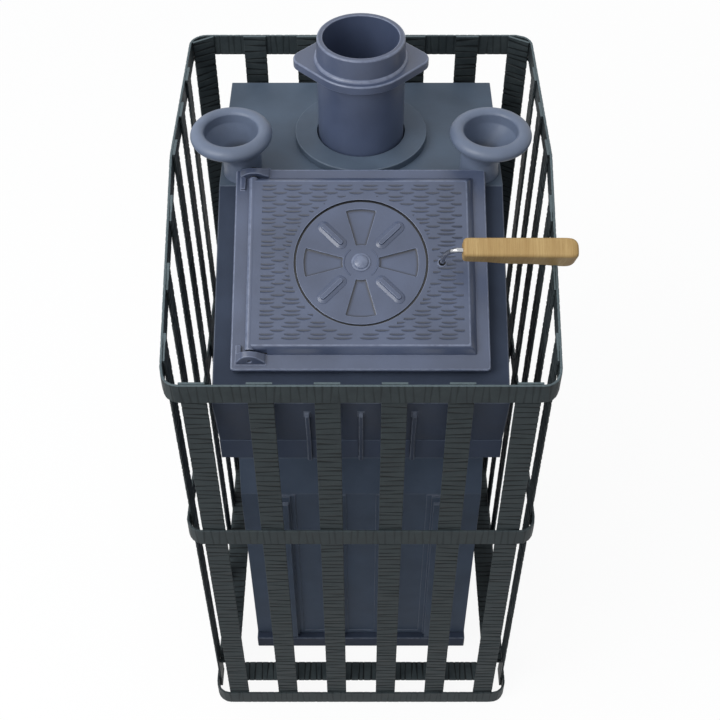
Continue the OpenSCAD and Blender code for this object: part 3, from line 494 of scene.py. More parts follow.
def cast_iron(name, colour, worn_and_lit, rough=0.5, grain=1.0, gloss=0.28):
    """Cast iron under a dull stove paint: fine sand grain, faint clouds, paler edges that stand partly
    for rubbing and partly for a painted highlight, and painted shade at marked points.
    """
    n = Nodes(name)
    clouds = n.noise(70, 3)
    sand = n.noise(1.1, 3, 0.6)
    pits = n.noise(4.5, 2)
    pale = tuple(min(1, c * 1.12) for c in colour)
    deep = tuple(c * 0.86 for c in colour)
    base = n.blend(n.ramp(clouds, 0.32, 0.68), deep, pale)
    base = n.blend(n.ramp(sand, 0.35, 0.75, 0.0, 0.22), base, tuple(c * 0.6 for c in colour))
    # Marked faces turn paler: partly wear, partly a painted highlight.
    edge = n.maths("MULTIPLY", n.mark("wear_and_highlight"), n.ramp(n.noise(9, 3), 0.3, 0.6, 0.35, 0.9))
    base = n.blend(edge, base, worn_and_lit)
    # Marked points turn almost black: painted shade in gaps and hollows.
    base = n.blend(n.mark("groove"), base, (0.006, 0.007, 0.011))
    roughness = n.ramp(clouds, 0.3, 0.7, rough - 0.06, rough + 0.08)
    low = n.bump(pits, 0.25 * grain, 0.5)
    normal = n.bump(sand, 0.09 * grain, 0.7, low)
    return n.finish(base, roughness, normal, Specular_IOR_Level=gloss)


def hammered_steel():
    """Black hot-rolled strip: mill scale, painted shade in its hammer lines, and paler marked edges,
    partly from rubbing and partly a painted highlight.
    """
    n = Nodes("hammered steel")
    scale_clouds = n.noise(26, 4, 0.6)
    fine = n.noise(2.2, 3, 0.6)
    base = n.blend(n.ramp(scale_clouds, 0.3, 0.7), (0.026, 0.034, 0.038), (0.043, 0.054, 0.058))
    base = n.blend(n.ramp(fine, 0.45, 0.8, 0.0, 0.35), base, (0.022, 0.028, 0.030))
    # Marked points turn almost black: painted shade in the hammer lines.
    groove = n.ramp(n.mark("groove"), 0.0, 0.85)
    base = n.blend(groove, base, (0.006, 0.008, 0.009))
    # Marked faces turn paler: partly wear, partly a painted highlight.
    rubbed_and_lit = n.maths("MULTIPLY", n.mark("wear_and_highlight"), n.ramp(fine, 0.3, 0.7, 0.55, 0.95))
    base = n.blend(rubbed_and_lit, base, (0.115, 0.150, 0.165))
    roughness = n.ramp(scale_clouds, 0.3, 0.7, 0.44, 0.60)
    normal = n.bump(fine, 0.16, 0.6, n.bump(scale_clouds, 1.2, 0.35))
    return n.finish(base, roughness, normal, Specular_IOR_Level=0.15)


def bare_metal(name, cloud, lines, colours, rough, depth, metallic):
    """Bare metal with faint clouds, and with the fine lines of its polishing or turning."""
    n = Nodes(name)
    clouds = n.noise(*cloud)
    scratches = n.noise(*lines)
    colour = n.blend(n.ramp(clouds, 0.3, 0.7), *colours)
    roughness = n.ramp(scratches, *rough)
    return n.finish(colour, roughness, n.bump(scratches, depth, 0.5), Metallic=metallic)


def grip_wood():
    """Pale hardwood. The fine grain crosses the grip, with a few darker fibres and broad bands."""
    n = Nodes("grip wood")
    bands = n.noise((22, 160, 160), 2)
    grain = n.noise((2.2, 60, 60), 4, 0.65)
    fibres = n.noise((0.8, 24, 24), 3, 0.6)
    flecks = n.noise((3.5, 1.2, 12), 2)
    base = n.blend(n.ramp(bands, 0.35, 0.65), (0.375, 0.243, 0.094), (0.465, 0.322, 0.138))
    base = n.blend(n.ramp(grain, 0.42, 0.72, 0.0, 0.6), base, (0.300, 0.175, 0.062))
    base = n.blend(n.ramp(fibres, 0.55, 0.78, 0.0, 0.55), base, (0.200, 0.108, 0.035))
    base = n.blend(n.ramp(flecks, 0.62, 0.8, 0.0, 0.3), base, (0.560, 0.410, 0.205))
    roughness = n.ramp(grain, 0.3, 0.7, 0.5, 0.66)
    normal = n.bump(fibres, 0.12, 0.5, n.bump(grain, 0.18, 0.4))
    return n.finish(base, roughness, normal, Specular_IOR_Level=0.35)


def sealing_rope():
    n = Nodes("sealing rope")
    twist = n.make("ShaderNodeTexWave",
        {"Vector": n.scaled(5.0), "Scale": 0.5, "Distortion": 1.5, "Detail": 2.0},
        bands_direction="DIAGONAL").outputs["Fac"]
    fluff = n.noise(0.9, 3)
    base = n.blend(n.ramp(twist, 0.2, 0.8), (0.012, 0.012, 0.013), (0.060, 0.060, 0.062))
    base = n.blend(n.ramp(fluff, 0.4, 0.8, 0.0, 0.5), base, (0.10, 0.10, 0.10))
    roughness = n.ramp(fluff, 0.3, 0.7, 0.8, 0.95)
    return n.finish(base, roughness, n.bump(twist, 1.0, 0.8), Specular_IOR_Level=0.2)


# Copies of one stove paint, lit or shaded by where they sit: the funnels, firebox, rim band and rear
# top are painted lighter and the body darker, as painted light and painted shade. The paler edge
# colours stand partly for wear and partly for a painted highlight.
IRON = cast_iron("cast iron", (0.061, 0.081, 0.142), (0.150, 0.180, 0.270), rough=0.37, gloss=0.8)
LIT_FUNNEL_IRON = cast_iron("cast iron, funnels", (0.125, 0.158, 0.230), (0.19, 0.22, 0.30),
    rough=0.42, gloss=0.5)
SHADED_BODY_IRON = cast_iron("cast iron, body", (0.043, 0.056, 0.088), (0.125, 0.145, 0.190), gloss=0.08)
LIT_FIREBOX_IRON = cast_iron("cast iron, firebox", (0.079, 0.105, 0.154), (0.150, 0.175, 0.225), gloss=0.1)
LIT_RIM_IRON = cast_iron("cast iron, rim", (0.056, 0.072, 0.112), (0.085, 0.105, 0.150), gloss=0.08)
LIT_TOP_IRON = cast_iron("cast iron, rear top", (0.086, 0.118, 0.166), (0.12, 0.155, 0.205))
DARK_IRON = cast_iron("sooty iron", (0.026, 0.031, 0.040), (0.05, 0.06, 0.075),
    rough=0.66, grain=1.6)
CAGE = hammered_steel()
CHROME = bare_metal("bright rod", (12, 2), ((18, 0.5, 0.5), 3),
    ((0.38, 0.39, 0.42), (0.52, 0.53, 0.55)), (0.35, 0.7, 0.12, 0.20), 0.03, 1.0)
STEEL = bare_metal("plain steel", (9, 3), ((0.6, 14, 0.6), 2),
    ((0.25, 0.26, 0.28), (0.36, 0.37, 0.39)), (0.3, 0.7, 0.32, 0.5), 0.06, 0.9)
WOOD = grip_wood()
ROPE = sealing_rope()


# Cage


def ring_top(y):
    """Height of the cage's top line at a place y behind the cage's front."""
    if y <= SLOPE_START_Y:
        return CAGE_FRONT_H
    if y >= CAGE_KNEE_Y:
        return CAGE_H
    share = (y - SLOPE_START_Y) / (CAGE_KNEE_Y - SLOPE_START_Y)
    return CAGE_FRONT_H + (CAGE_H - CAGE_FRONT_H) * share


def ring_path():
    """The rings' middle line from above: a function from distance to place and outward direction."""
    r = CORNER_R - STRIP_T / 2
    hx, y0, y1 = CAGE_W / 2 - STRIP_T / 2, STRIP_T / 2, CAGE_D - STRIP_T / 2
    side, near, far = hx - r, y0 + r, y1 - r
    bend = r * pi / 2
    # Each straight run: its start, its direction, its length and the middle of the bend after it
    runs = [((0, y0), (1, 0), side, (side, near)), ((hx, near), (0, 1), far - near, (side, far)),
        ((side, y1), (-1, 0), 2 * side, (-side, far)), ((-hx, far), (0, -1), far - near, (-side, near)),
        ((-side, y0), (1, 0), side, None)]
    length = sum(run[2] for run in runs) + 4 * bend

    def at(u):
        u %= length
        for (x, y), (dx, dy), size, middle in runs:
            if u <= size or not middle:
                return (x + dx * u, y + dy * u), (dy, -dx)
            u -= size
            if u <= bend:
                angle = atan2(-dx, dy) + u / r
                out = (cos(angle), sin(angle))
                return (middle[0] + r * out[0], middle[1] + r * out[1]), out
            u -= bend

    return at, length


def forged(form, node):
    form.piece(node + "_forged", node, "stove", "cage_steel", CAGE, crease=18)


def cage_ring(name, low_z, seed, edge_wear_and_sheen):
    at, length = ring_path()
    rng = random.Random(seed)

    def place(u, w, n):
        (x, y), out = at(u)
        return (x + out[0] * n, y + out[1] * n, low_z(y) + w)

    form = Form()
    form.strip(place, length, RING_H, RING_PITCH, rng, closed=True, depth=0.5, edge_wear_and_sheen=edge_wear_and_sheen)
    forged(form, name)


def upright(form, middle, along, rng, low_z):
    """A strip on end, up to the cage's top line, at a place from above and wide along a direction."""

    def place(u, w, n):
        side = w - BAR_W / 2
        x = middle[0] + along[0] * side + along[1] * n
        y = middle[1] + along[1] * side - along[0] * n
        return (x, y, low_z + u)

    def limit(w):
        return ring_top(middle[1] + along[1] * (w - BAR_W / 2)) - low_z

    form.strip(place, limit(BAR_W), BAR_W, BAR_PITCH, rng, limit=limit)


def cage_bars():
    """Every upright: node, places from above, direction of the width, foot and random seed."""
    inset, turn = STRIP_T * 1.5, radians(30)
    side_x, back_y = CAGE_W / 2 - inset, CAGE_D - inset
    groups = [("cage_front_bars", [(x, inset) for x in FRONT_BAR_X], (1, 0), 0, 11),
        ("cage_left_bars", [(-side_x, y) for y in SIDE_BAR_Y], (0, 1), 0, 22),
        ("cage_right_bars", [(side_x, y) for y in SIDE_BAR_Y], (0, 1), 0, 24),
        ("cage_back_bars", [(x, back_y) for x in BACK_BAR_X], (1, 0), MID_RING_Z, 37)]
    for side, node, seed in ((-1, "cage_left_corner_bar", 50), (1, "cage_right_corner_bar", 52)):
        low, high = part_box(node)
        middle = (low.x + high.x) / 2 / MM, (low.y + high.y) / 2 / MM + CAGE_D / 2
        groups.append((node, [middle], (-side * cos(turn), sin(turn)), 0, seed))
    for node, middles, along, low_z, seed in groups:
        form = Form()
        rng = random.Random(seed)
        for middle in middles:
            upright(form, middle, along, rng, low_z)
        forged(form, node)


def cage_shelves():
    short_of_back = 60
    x_in = CAGE_W / 2 - 2 * STRIP_T
    flat_z = SHELF_Z - STRIP_T / 2

    def along_x(u, w, n):
        return (u - x_in + SHELF_W / 2, STRIP_T * 2 + w, flat_z + n)

    form = Form()
    form.strip(along_x, 2 * x_in - SHELF_W, SHELF_W, RING_PITCH, random.Random(61))
    forged(form, "cage_shelf_front")
    start = STRIP_T * 2 + SHELF_W
    for side, node in ((-1, "cage_shelf_left"), (1, "cage_shelf_right")):
        def along_y(u, w, n):
            return (side * (x_in - SHELF_W) + side * w, start + u, flat_z + n * -side)

        form = Form()
        length = CAGE_D - short_of_back - start
        form.strip(along_y, length, SHELF_W, RING_PITCH, random.Random(71 + side))
        forged(form, node)
    for node in ("cage_left_tie", "cage_right_tie"):
        eased_copy(node, "stove", CAGE, 0.8)


# The rings' upper edges turn paler, the top ring's most: partly wear, partly a painted highlight where
# it faces the light.
cage_ring("cage_bottom_ring", lambda y: 0, 1, 0.0)
cage_ring("cage_mid_ring", lambda y: MID_RING_Z, 2, 0.15)
cage_ring("cage_top_ring", lambda y: ring_top(y) - RING_H, 3, 1.0)
cage_bars()
cage_shelves()


# Firebox, housing and top

for foot in ("front_left_foot", "front_right_foot", "rear_left_foot", "rear_right_foot"):
    eased_copy(foot, "stove", DARK_IRON)
# The housing and base plate take the darker copy of the paint and the firebox and rear top lighter
# ones: painted shade and painted light.
for node, material, width, steps in (
        ("base_plate", SHADED_BODY_IRON, 2.0, 3), ("firebox_casting", LIT_FIREBOX_IRON, 1.0, 2),
        ("heater_housing", SHADED_BODY_IRON, 2.5, 3), ("top_plate", LIT_TOP_IRON, 1.2, 2)):
    eased_copy(node, "stove", material, width, steps)


def housing_rim():
    """The thicker lower band of the housing's front, between its ribs, in a lighter copy of the paint:
    painted light.
    """
    form = Form(lambda p: level((p[0], RIM_Y - p[2], p[1])))
    half, pitch, rib_half, proud = HOUSING_W / 2, 81, 3.6, 0.9
    ribs = (-pitch, 0, pitch)
    spans = zip([-half] + [x + rib_half for x in ribs], [x - rib_half for x in ribs] + [half])
    for x0, x1 in spans:
        band = rounded_rect(x0, x1, HOUSING_Z, RIM_TOP_Z, 0.8, 2)
        form.plate(band, -2, proud, top=proud, bottom=0)
    form.piece("heater_housing_rim_band", "heater_housing", "stove", "cast_iron", LIT_RIM_IRON)


housing_rim()


def cast(form, node, body="stove", material=IRON, ending="_cast", crease=34):
    form.piece(node + ending, node, body, "cast_iron", material, crease)


def flue():
    at = (0, FLUE_Y)
    outer, hole, top = 107, PIPE_R + 2.4, TOP_Z + 12
    form = Form()
    form.lathe(filleted([(outer, TOP_Z), (outer, top), (hole, top), (hole, TOP_Z)],
        [0.5, 1.6, 0.6, 0.2]), 128, at)
    cast(form, "flue_base_ring", material=LIT_TOP_IRON, ending="_turned")
    form = Form()
    low = TOP_Z - 16
    form.lathe([(PIPE_R + 13, low), (PIPE_R + 13, low + 8), (PIPE_R, low + 8), (PIPE_R, FLANGE_Z),
        (BORE_R + 0.3, FLANGE_Z), (BORE_R + 0.3, low)], 128, at)
    cast(form, "flue_pipe", ending="_turned")
    form = Form()
    disc, ear, reach = BORE_R + 22, 22, 105
    lean = degrees(acos((disc - ear) / (reach - ear)))
    outline = []
    for x, start in ((reach - ear, 0), (ear - reach, 180)):
        outline += circle(ear, 12, (x, 0), start - lean, 2 * lean)
        outline += circle(disc, 20, (0, 0), start + lean, 180 - 2 * lean)
    outline = [(x, y + FLUE_Y) for x, y in outline]
    foot, wall_r, bead_r = FLANGE_Z + 14, BORE_R + 9, 5
    form.plate(outline, FLANGE_Z, foot, [circle(BORE_R + 4, 64, at)], top=2.4, bottom=1.5, steps=4)
    bead = [(wall_r + bead_r * cos(a), foot + bead_r * sin(a)) for a in quarter(6)[:-1]]
    wall = filleted([(wall_r, foot + bead_r), (wall_r, FLUE_TOP_Z), (BORE_R, FLUE_TOP_Z),
        (BORE_R, FLANGE_Z)], [2.5, 2.8, 1.6, 0], closed=False, steps=5)
    form.lathe([(BORE_R + 6, foot - 4), (BORE_R + 14.5, foot - 1)] + bead + wall[1:]
        + [(BORE_R + 6, FLANGE_Z)], 128, at)
    cast(form, "flue_collar")


def funnels():
    """Cast funnels with rolled rims; each is a loft of level rings whose centres lean outwards."""
    neck_x, neck_y, neck_r = 186, 376, 30
    rim_x, rim_y, rim_z, rim_r, lip = 199, 371, 1142, 63, 11
    mouth = rim_r - lip
    neck_top, bore = TOP_Z + 30, 21
    lip_z = rim_z - lip
    flare = lip_z - 0.8 * lip - neck_top
    rings = [(0, neck_r + 1, TOP_Z), (0, neck_r + 1, TOP_Z + 3), (0, neck_r + 0.4, TOP_Z + 4.6),
        (0, neck_r, TOP_Z + 6)]
    up = [k / 12 for k in range(13)]
    rings += [(t, neck_r + (mouth - neck_r) * t ** 2.2, neck_top + flare * t) for t in up]
    rings += [(1, mouth + lip * cos(radians(a)), lip_z + lip * sin(radians(a)))
        for a in range(-60, 0, 10)]
    inside, flat_r = mouth - lip, mouth - 2
    rings += [(1, flat_r + (rim_r - flat_r) * cos(a), lip_z + lip * sin(a)) for a in quarter(9)]
    rings += [(1, inside + 9 * (1 - cos(a)), rim_z - 7 * (1 - sin(a))) for a in quarter(9)[:0:-1]]
    down = [k / 16 for k in range(16, -1, -1)]
    rings += [(t, bore + (inside - bore) * t ** 0.75, neck_top + flare * t + 2) for t in down]
    rings.append((0, bore, TOP_Z))
    for side, node in ((-1, "left_steam_funnel"), (1, "right_steam_funnel")):
        form = Form()
        ids = []
        for t, r, z in rings:
            centre = (side * (neck_x + (rim_x - neck_x) * t), neck_y + (rim_y - neck_y) * t)
            # Painted shade deepens down the inside towards the bore.
            shade_amount = max(0.0, 0.9 - (r - bore) / 9)
            ids.append(form.loop([(x, y, z) for x, y in circle(r, 96, centre)], shade_amount))
        for low, high in zip(ids, ids[1:] + ids[:1]):
            form.bridge(low, high)
        cast(form, node, material=LIT_FUNNEL_IRON, crease=40)


flue()
funnels()


# Doors


def slit_rows():
    """Rows of slits from the top down: height, first centre and length of each."""
    kinds = [(14.8, 25), (12.5, 29), (-7.2, 23)]
    return [(TOP_ROW_Y - ROW_PITCH * k, *kinds[k % 3]) for k in range(ROWS)]


def free_spans(x0, x1, y, rounds):
    """Parts of a span of x at height y that stay clear of some circles."""
    spans = [(x0, x1)]
    for cx, cy, r in rounds:
        if abs(y - cy) >= r:
            continue
        half = sqrt(r * r - (y - cy) ** 2)
        cut = []
        for a, b in spans:
            cut += [(a, min(b, cx - half)), (max(a, cx + half), b)]
        spans = [(a, b) for a, b in cut if b - a > SHORTEST_SLIT]
    return spans


def slit(form, x0, x1, centre, half, y, z):
    """One louvre slit: a steep face that looks down the door, in painted shade, then a gentle one."""
    steps = 10
    columns, shade_amount = [], []
    for k in range(steps + 1):
        x = x0 + (x1 - x0) * (0.5 - 0.5 * cos(pi * k / steps))
        full = max(0.0, 1 - ((x - centre) / half) ** 2) ** 0.5
        deep = y + 0.6 * full - 2.6 * full ** 1.2
        columns.append([(x, y - 3.9 * full, z), (x, deep - 0.12 * full, z - 1.5 * full),
            (x, deep, z - 1.6 * full), (x, y - 0.1 * full, z - 0.5 * full), (x, y + 0.6 * full, z)])
        shade_amount.append(min(1.0, 3 * full))
    rows = list(zip(*columns))
    # Painted shade on the slit's rows, deepest on the steep face.
    row_shades = (0.0, 0.0, 0.70, 0.60, 0.05)
    ids = [form.loop(row, [mark * share for share in shade_amount]) for row, mark in zip(rows, row_shades)]
    for low, high in zip(ids, ids[1:]):
        form.bridge(low, high, closed=False)
    form.face([row[0] for row in ids])
    form.face([row[-1] for row in reversed(ids)])
    outline = rows[0] + rows[-1][::-1]
    return [p[:2] for i, p in enumerate(outline) if dist(p, outline[i - 1]) > 0.01]


def louvre_field(form, x0, x1, y0, y1, z, rounds):
    """A flat field of slits between an outer rectangle and some circles."""
    outer = rounded_rect(x0, x1, y0, y1, 2, 3)
    shapes = [outer] + [circle(r, 96 if r > 40 else 32, (cx, cy)) for cx, cy, r in rounds]
    for y, first, length in slit_rows():
        half = length / 2
        for k in range(-6, 7):
            centre = first + SLIT_PITCH * k
            a, b = max(x0 + 0.3, centre - half), min(x1 - 0.3, centre + half)
            if b - a < 1.2:
                continue
            for left, right in free_spans(a, b, y - 0.8, [(cx, cy, r + 0.4) for cx, cy, r in rounds]):
                shapes.append(slit(form, left, right, centre, half, y, z))
    points, loops = [], []
    for shape in shapes:
        loops.append(list(range(len(points), len(points) + len(shape))))
        points += [Vector(p) for p in shape]
    found = delaunay_2d_cdt(points, [], loops, 1, 1e-5, True)
    ids = form.loop([(p.x, p.y, z) for p in found[0]])
    for triangle, inside in zip(found[2], found[5]):
        if set(inside) == {0}:
            form.face([ids[i] for i in triangle])


def capsule_rib(form, centre, angle, reach0, reach1, z):
    """A cast finger rib: a wide soft foot that narrows to a crisp flat top, whose rim turns paler:
    partly from rubbing, partly a painted highlight.
    """
    ax, ay = cos(radians(angle)), sin(radians(angle))
    levels = [(9.6, 0.0), (9.2, 0.6), (8.6, 1.0), (7.4, 1.6), (6.0, 2.25), (4.8, 2.75),
        (4.1, 2.95), (3.8, 3.5), (3.5, 4.6), (3.2, 5.3), (2.6, 5.6)]
    before = None
    for half, height in levels:
        ends = circle(half, 12, (reach1, 0), -90, 180) + circle(half, 12, (reach0, 0), 90, 180)
        ids = form.loop([(centre[0] + x * ax - y * ay, centre[1] + x * ay + y * ax, z + height)
            for x, y in ends])
        if before:
            form.bridge(before, ids, 1.0 if height > 5.4 else 0.0)
        before = ids
    form.face(before)


def sector(centre, r0, r1, middle, half, corner=2.5):
    """A round sector's outline with rounded corners, counter-clockwise."""
    outer = circle(r1, 12, centre, middle - half, 2 * half)
    inner = circle(r0, 6, centre, middle - half, 2 * half)
    points = outer + list(reversed(inner))
    radii = [0.0] * len(points)
    for i in (0, len(outer) - 1, len(outer), len(points) - 1):
        radii[i] = corner
    return filleted(points, radii, steps=3)


def hinge_lug(form, hx, near, far):
    """A lug of the frame that holds the pin: a low house shape with a round roof and a leaning back.

    Its face towards the barrel carries painted shade."""
    roof_r = 16
    roof = circle(roof_r, 14, (hx, HINGE_Z), 35, 110)
    left, right, wall_top = hx - 20.5, hx + 23, FRAME_TOP + 5
    foot = FRAME_TOP - 1
    outline = [(left, foot), (right, foot), (right, wall_top)] + roof + [(left, wall_top)]
    outline = filleted(outline, [0, 0, 3] + [0] * len(roof) + [3])
    low, high = sorted((-near, -far))
    place = form.place

    def leaning(p):
        share = 1.2 - 0.5 * (p[1] - FRAME_TOP) / (HINGE_Z + roof_r - FRAME_TOP)
        height = p[1] - 0.25 * max(0.0, p[1] - wall_top)
        return place((p[0], near + (-p[2] - near) * share, height))

    form.place = leaning
    form.plate(outline, low, high, [circle(PIN_HOLE_R, 20, (hx, HINGE_Z))], top=1.5, bottom=1.5,
        shade_painted_up=None if far > near else False)
    form.place = place


def door_frame(name, place, width, length):
    """The frame casting: plate on a neck, channel for the rope, and the hinge's lugs with their pads.
    """
    hx = HINGE_INSET - width / 2
    open_x, open_y = (width - OPEN_LESS_X) / 2, (length - OPEN_LESS_Y) / 2
    barrel = (length - DOOR_LESS) / 2 - 3
    neck_x, neck_y, neck_wall = width / 2 - 12, length / 2 - 12, 15
    groove_out, groove_in, groove_depth, spread = 10.5, 2.5, 5, 1.3
    form = Form(place)
    outer = rounded_rect(-width / 2 - spread, width / 2, -length / 2, length / 2 + spread, 5)
    rope_out = centred_rect(open_x + groove_out, open_y + groove_out, 4)
    rope_in = centred_rect(open_x + groove_in, open_y + groove_in, 2)
    form.plate(outer, FRAME_LOW, FRAME_TOP, [rope_out], top=2.6, bottom=1.5, steps=4)
    form.plate(rope_in, FRAME_LOW, FRAME_TOP, [centred_rect(open_x, open_y, 1)], top=0.6)
    form.plate(rope_out, FRAME_LOW, FRAME_TOP - groove_depth, [rope_in], top=0, bottom=0)
    form.plate(centred_rect(neck_x, neck_y, 4), 0, FRAME_LOW + 1,
        [centred_rect(neck_x - neck_wall, neck_y - neck_wall, 2)], top=0, bottom=0)
    left, pad_right, right = hx - 22, hx - 13, hx + 24.6
    for side, pad_reach in ((-1, 10.5), (1, 17)):
        near = DOOR_DY + side * (barrel + 2.6)
        far = near + side * 12.6
        pad_end = DOOR_DY + side * (barrel - pad_reach)
        foot_end, lug_end = pad_end - side * 1.5, far + side * 5
        hinge_lug(form, hx, near, far)
        low, high = sorted((pad_end, DOOR_DY + side * (barrel + 3)))
        # The pad's wall is painted with shade near its foot, for the gap by the barrel.
        form.plate(rounded_rect(left + 1.5, pad_right, low, high, 1.5, 3), FRAME_TOP - 1, FRAME_TOP + 5,
            top=1.2, bottom=0, painted_shade_below=FRAME_TOP + 3)
        foot = [(left, foot_end), (pad_right, foot_end), (pad_right, near), (right, near),
            (right, lug_end), (left, lug_end)]
        form.plate(filleted(foot[::side], 1.5), FRAME_TOP - 1, FRAME_TOP + 1.1, top=1.1, bottom=0)
    cast(form, name)


def door_leaf(name, place, width, length, body, disc=False):
    """The door: drafted sides, hinge barrel, a field of slits and, on the heater, the disc's seat."""
    hx, edge = HINGE_INSET - width / 2, width / 2 - EDGE_INSET
    half = (length - DOOR_LESS) / 2
    barrel = half - 3
    notch = hx + 26
    latch, centre = (width / 2 - LATCH_INSET, LATCH_Y), (0, DISC_Y)
    form = Form(place)

    def outline(inset):
        reach = half - inset
        short = min(barrel, reach)
        side = [(hx, short), (notch, short), (notch, reach), (edge - inset, reach)]
        points = [(x, DOOR_DY - y) for x, y in side] + [(x, DOOR_DY + y) for x, y in reversed(side)]
        return filleted(points, [0, 0, 0, 3.0, 3.0, 0, 0, 0])

    # The door's rounded top edge turns paler: a painted highlight.
    levels = [(0.0, DOOR_Z), (0.3, DOOR_Z + 0.8), (5.5, DOOR_TOP - 4), (9.4, DOOR_TOP - 1),
        (10.1, DOOR_TOP - 0.5), (11.0, DOOR_TOP - 0.15), (12.0, DOOR_TOP)]
    before = None
    for inset, z in levels:
        shape = outline(inset)
        ids = form.loop([(*p, z) for p in shape])
        if before:
            form.bridge(before, ids, 1.0 if z > DOOR_TOP - 0.8 else 0.0)
        before = ids
    rounds = [(*latch, BOSS_R)]
    if disc:
        rounds.append((*centre, PLAIN_R))
    field = (hx + 14, edge - 18.5, FIELD_LOW_Y, FIELD_TOP_Y)
    form.cap([shape, list(reversed(rounded_rect(*field, 2, 3)))], DOOR_TOP)
    louvre_field(form, *field, DOOR_TOP, rounds)
    # The rod's hole down the boss is painted with shade.
    boss = [(BOSS_R, 0), (6.9, 0.8), (6.4, 1), (5.8, 1), (5.4, 0.8), (5.2, 0), (5.1, -4),
        (ROD_HOLE_R, -4.1)]
    form.lathe([(r, DOOR_TOP + h) for r, h in boss] + [(ROD_HOLE_R, DOOR_Z)], 40, latch,
        closed=False, shade_painted=(5, 6, 7))
    lows = [outline(0.0), list(reversed(circle(ROD_HOLE_R, 40, latch)))]
    if disc:
        # The gap round the disc's seat is painted with shade down its wall and floor.
        form.lathe([(PLAIN_R, DOOR_TOP), (SEAT_R + 0.8, DOOR_TOP), (SEAT_R + 0.1, DOOR_TOP - 0.3),
            (SEAT_R, DOOR_TOP - 0.9), (SEAT_R, SEAT_Z + 0.05), (SEAT_R - 3.5, SEAT_Z + 0.05),
            (SEAT_R - 5, SEAT_Z)], 96, centre, closed=False, shade_painted=(3, 4, 5))
        ports = [sector(centre, PORT_IN, PORT_OUT, a, PORT_HALF, 1.0) for a in (45, 135, 225, 315)]
        seat = circle(SEAT_R, 96, centre)
        form.plate(seat, DOOR_Z, SEAT_Z, ports + [circle(RIVET_R, 24, centre)], top=0, bottom=0)
        lows.append(list(reversed(seat)))
    form.cap(lows, DOOR_Z, up=False)
    inner = form.place
    form.place = lambda p: inner((hx + p[0], -p[2], HINGE_Z + p[1]))
    ends = DOOR_DY + barrel - 0.8, DOOR_DY - barrel + 0.8
    first = len(form.faces)
    # The barrel's end faces and its pin hole carry painted shade.
    form.lathe([(HINGE_R, -ends[0] + 2), (HINGE_R, -ends[1] - 2), (HINGE_R - 0.6, -ends[1] - 0.6),
        (HINGE_R - 2, -ends[1]), (PIN_HOLE_R, -ends[1]), (PIN_HOLE_R, -ends[0]),
        (HINGE_R - 2, -ends[0]), (HINGE_R - 0.6, -ends[0] + 0.6)], 64, shade_painted=(3, 4, 5, 6))
    # The side of the barrel that looks out and to the left turns paler: a painted highlight where the
    # light from the left falls.
    for k in range(19, 30):
        form.wear_and_highlight[first + k] = 1.0
    form.place = inner
    cast(form, name, body)


def regulator():
    """The disc: four sector holes, four finger ribs and two shallow crescents round the hub."""
    form = Form(on_slope)
    centre = (0, DISC_Y)
    ports = [sector(centre, PORT_IN, PORT_OUT, a, PORT_HALF) for a in (0, 90, 180, 270)]
    # The disc's outer wall below its top edge is painted with shade, for the gap round it.
    form.plate(circle(DISC_R - 1.8, 128, centre), DISC_Z, DISC_TOP,
        ports + [circle(RIVET_R + 0.05, 24, centre)], top=0.8, bottom=0.3, painted_shade_below=DISC_TOP - 1)
    # A fillet at the foot of each port, in painted shade: inset, height and share of painted shade
    foot = [(4.2, 0.0, 0.0), (4.2, 0.06, 0.0), (1.0, 0.12, 0.8), (-0.2, 0.9, 1.0), (-0.2, 0.0, 1.0)]
    for port in ports:
        rows = []
        for inset, height, shade_amount in foot:
            edge = reversed(moved_left(port, inset))
            rows.append(form.loop([(x, y, DISC_Z + height) for x, y in edge], shade_amount))
        for low, high in zip(rows, rows[1:] + rows[:1]):
            form.bridge(low, high)
    for angle in (45, 135, 225, 315):
        capsule_rib(form, centre, angle, 43.5, 80, DISC_TOP - 0.02)
    for middle in (0, 180):
        rows = []
        for r, height in ((24.6, 0.0), (25.2, 0.7), (26.4, 0.8), (27.0, 0.0)):
            rows.append(form.loop([(x, y, DISC_TOP - 0.02 + height)
                for x, y in circle(r, 16, centre, middle - 52, 104)]))
        for low, high in zip(rows[1:], rows):
            form.bridge(low, high, closed=False)
    cast(form, "regulator_disc", "regulator")
    form = Form(on_slope)
    head, foot, tip = DISC_TOP + 0.3, DOOR_Z - 3, 0.4
    dome = [(11.5 * cos(a), head + 1.6 + 4.4 * sin(a)) for a in quarter(8)[:-1]]
    form.lathe([(14.7, head), (14.7, head + 0.5), (14.0, head + 1.2), (12.4, head + 1.5)] + dome
        + [(tip, head + 6.0), (tip, head)], 64, centre)
    form.lathe([(RIVET_R, foot), (RIVET_R, head + 1), (tip, head + 1), (tip, foot)], 32, centre)
    form.lathe([(8, foot), (8, DOOR_Z), (RIVET_R, DOOR_Z), (RIVET_R, foot)], 32, centre)
    cast(form, "disc_rivet", "heater_door")


# Latches


def latch_place(place, lx):
    """From a latch's own frame, which leans back about the door's x axis, to the model's frame."""

    def at(p):
        y = p[1] * cos(ROD_TILT) - p[2] * sin(ROD_TILT)
        z = p[1] * sin(ROD_TILT) + p[2] * cos(ROD_TILT)
        return place((lx + p[0], LATCH_Y + y, DOOR_TOP + z))

    return at


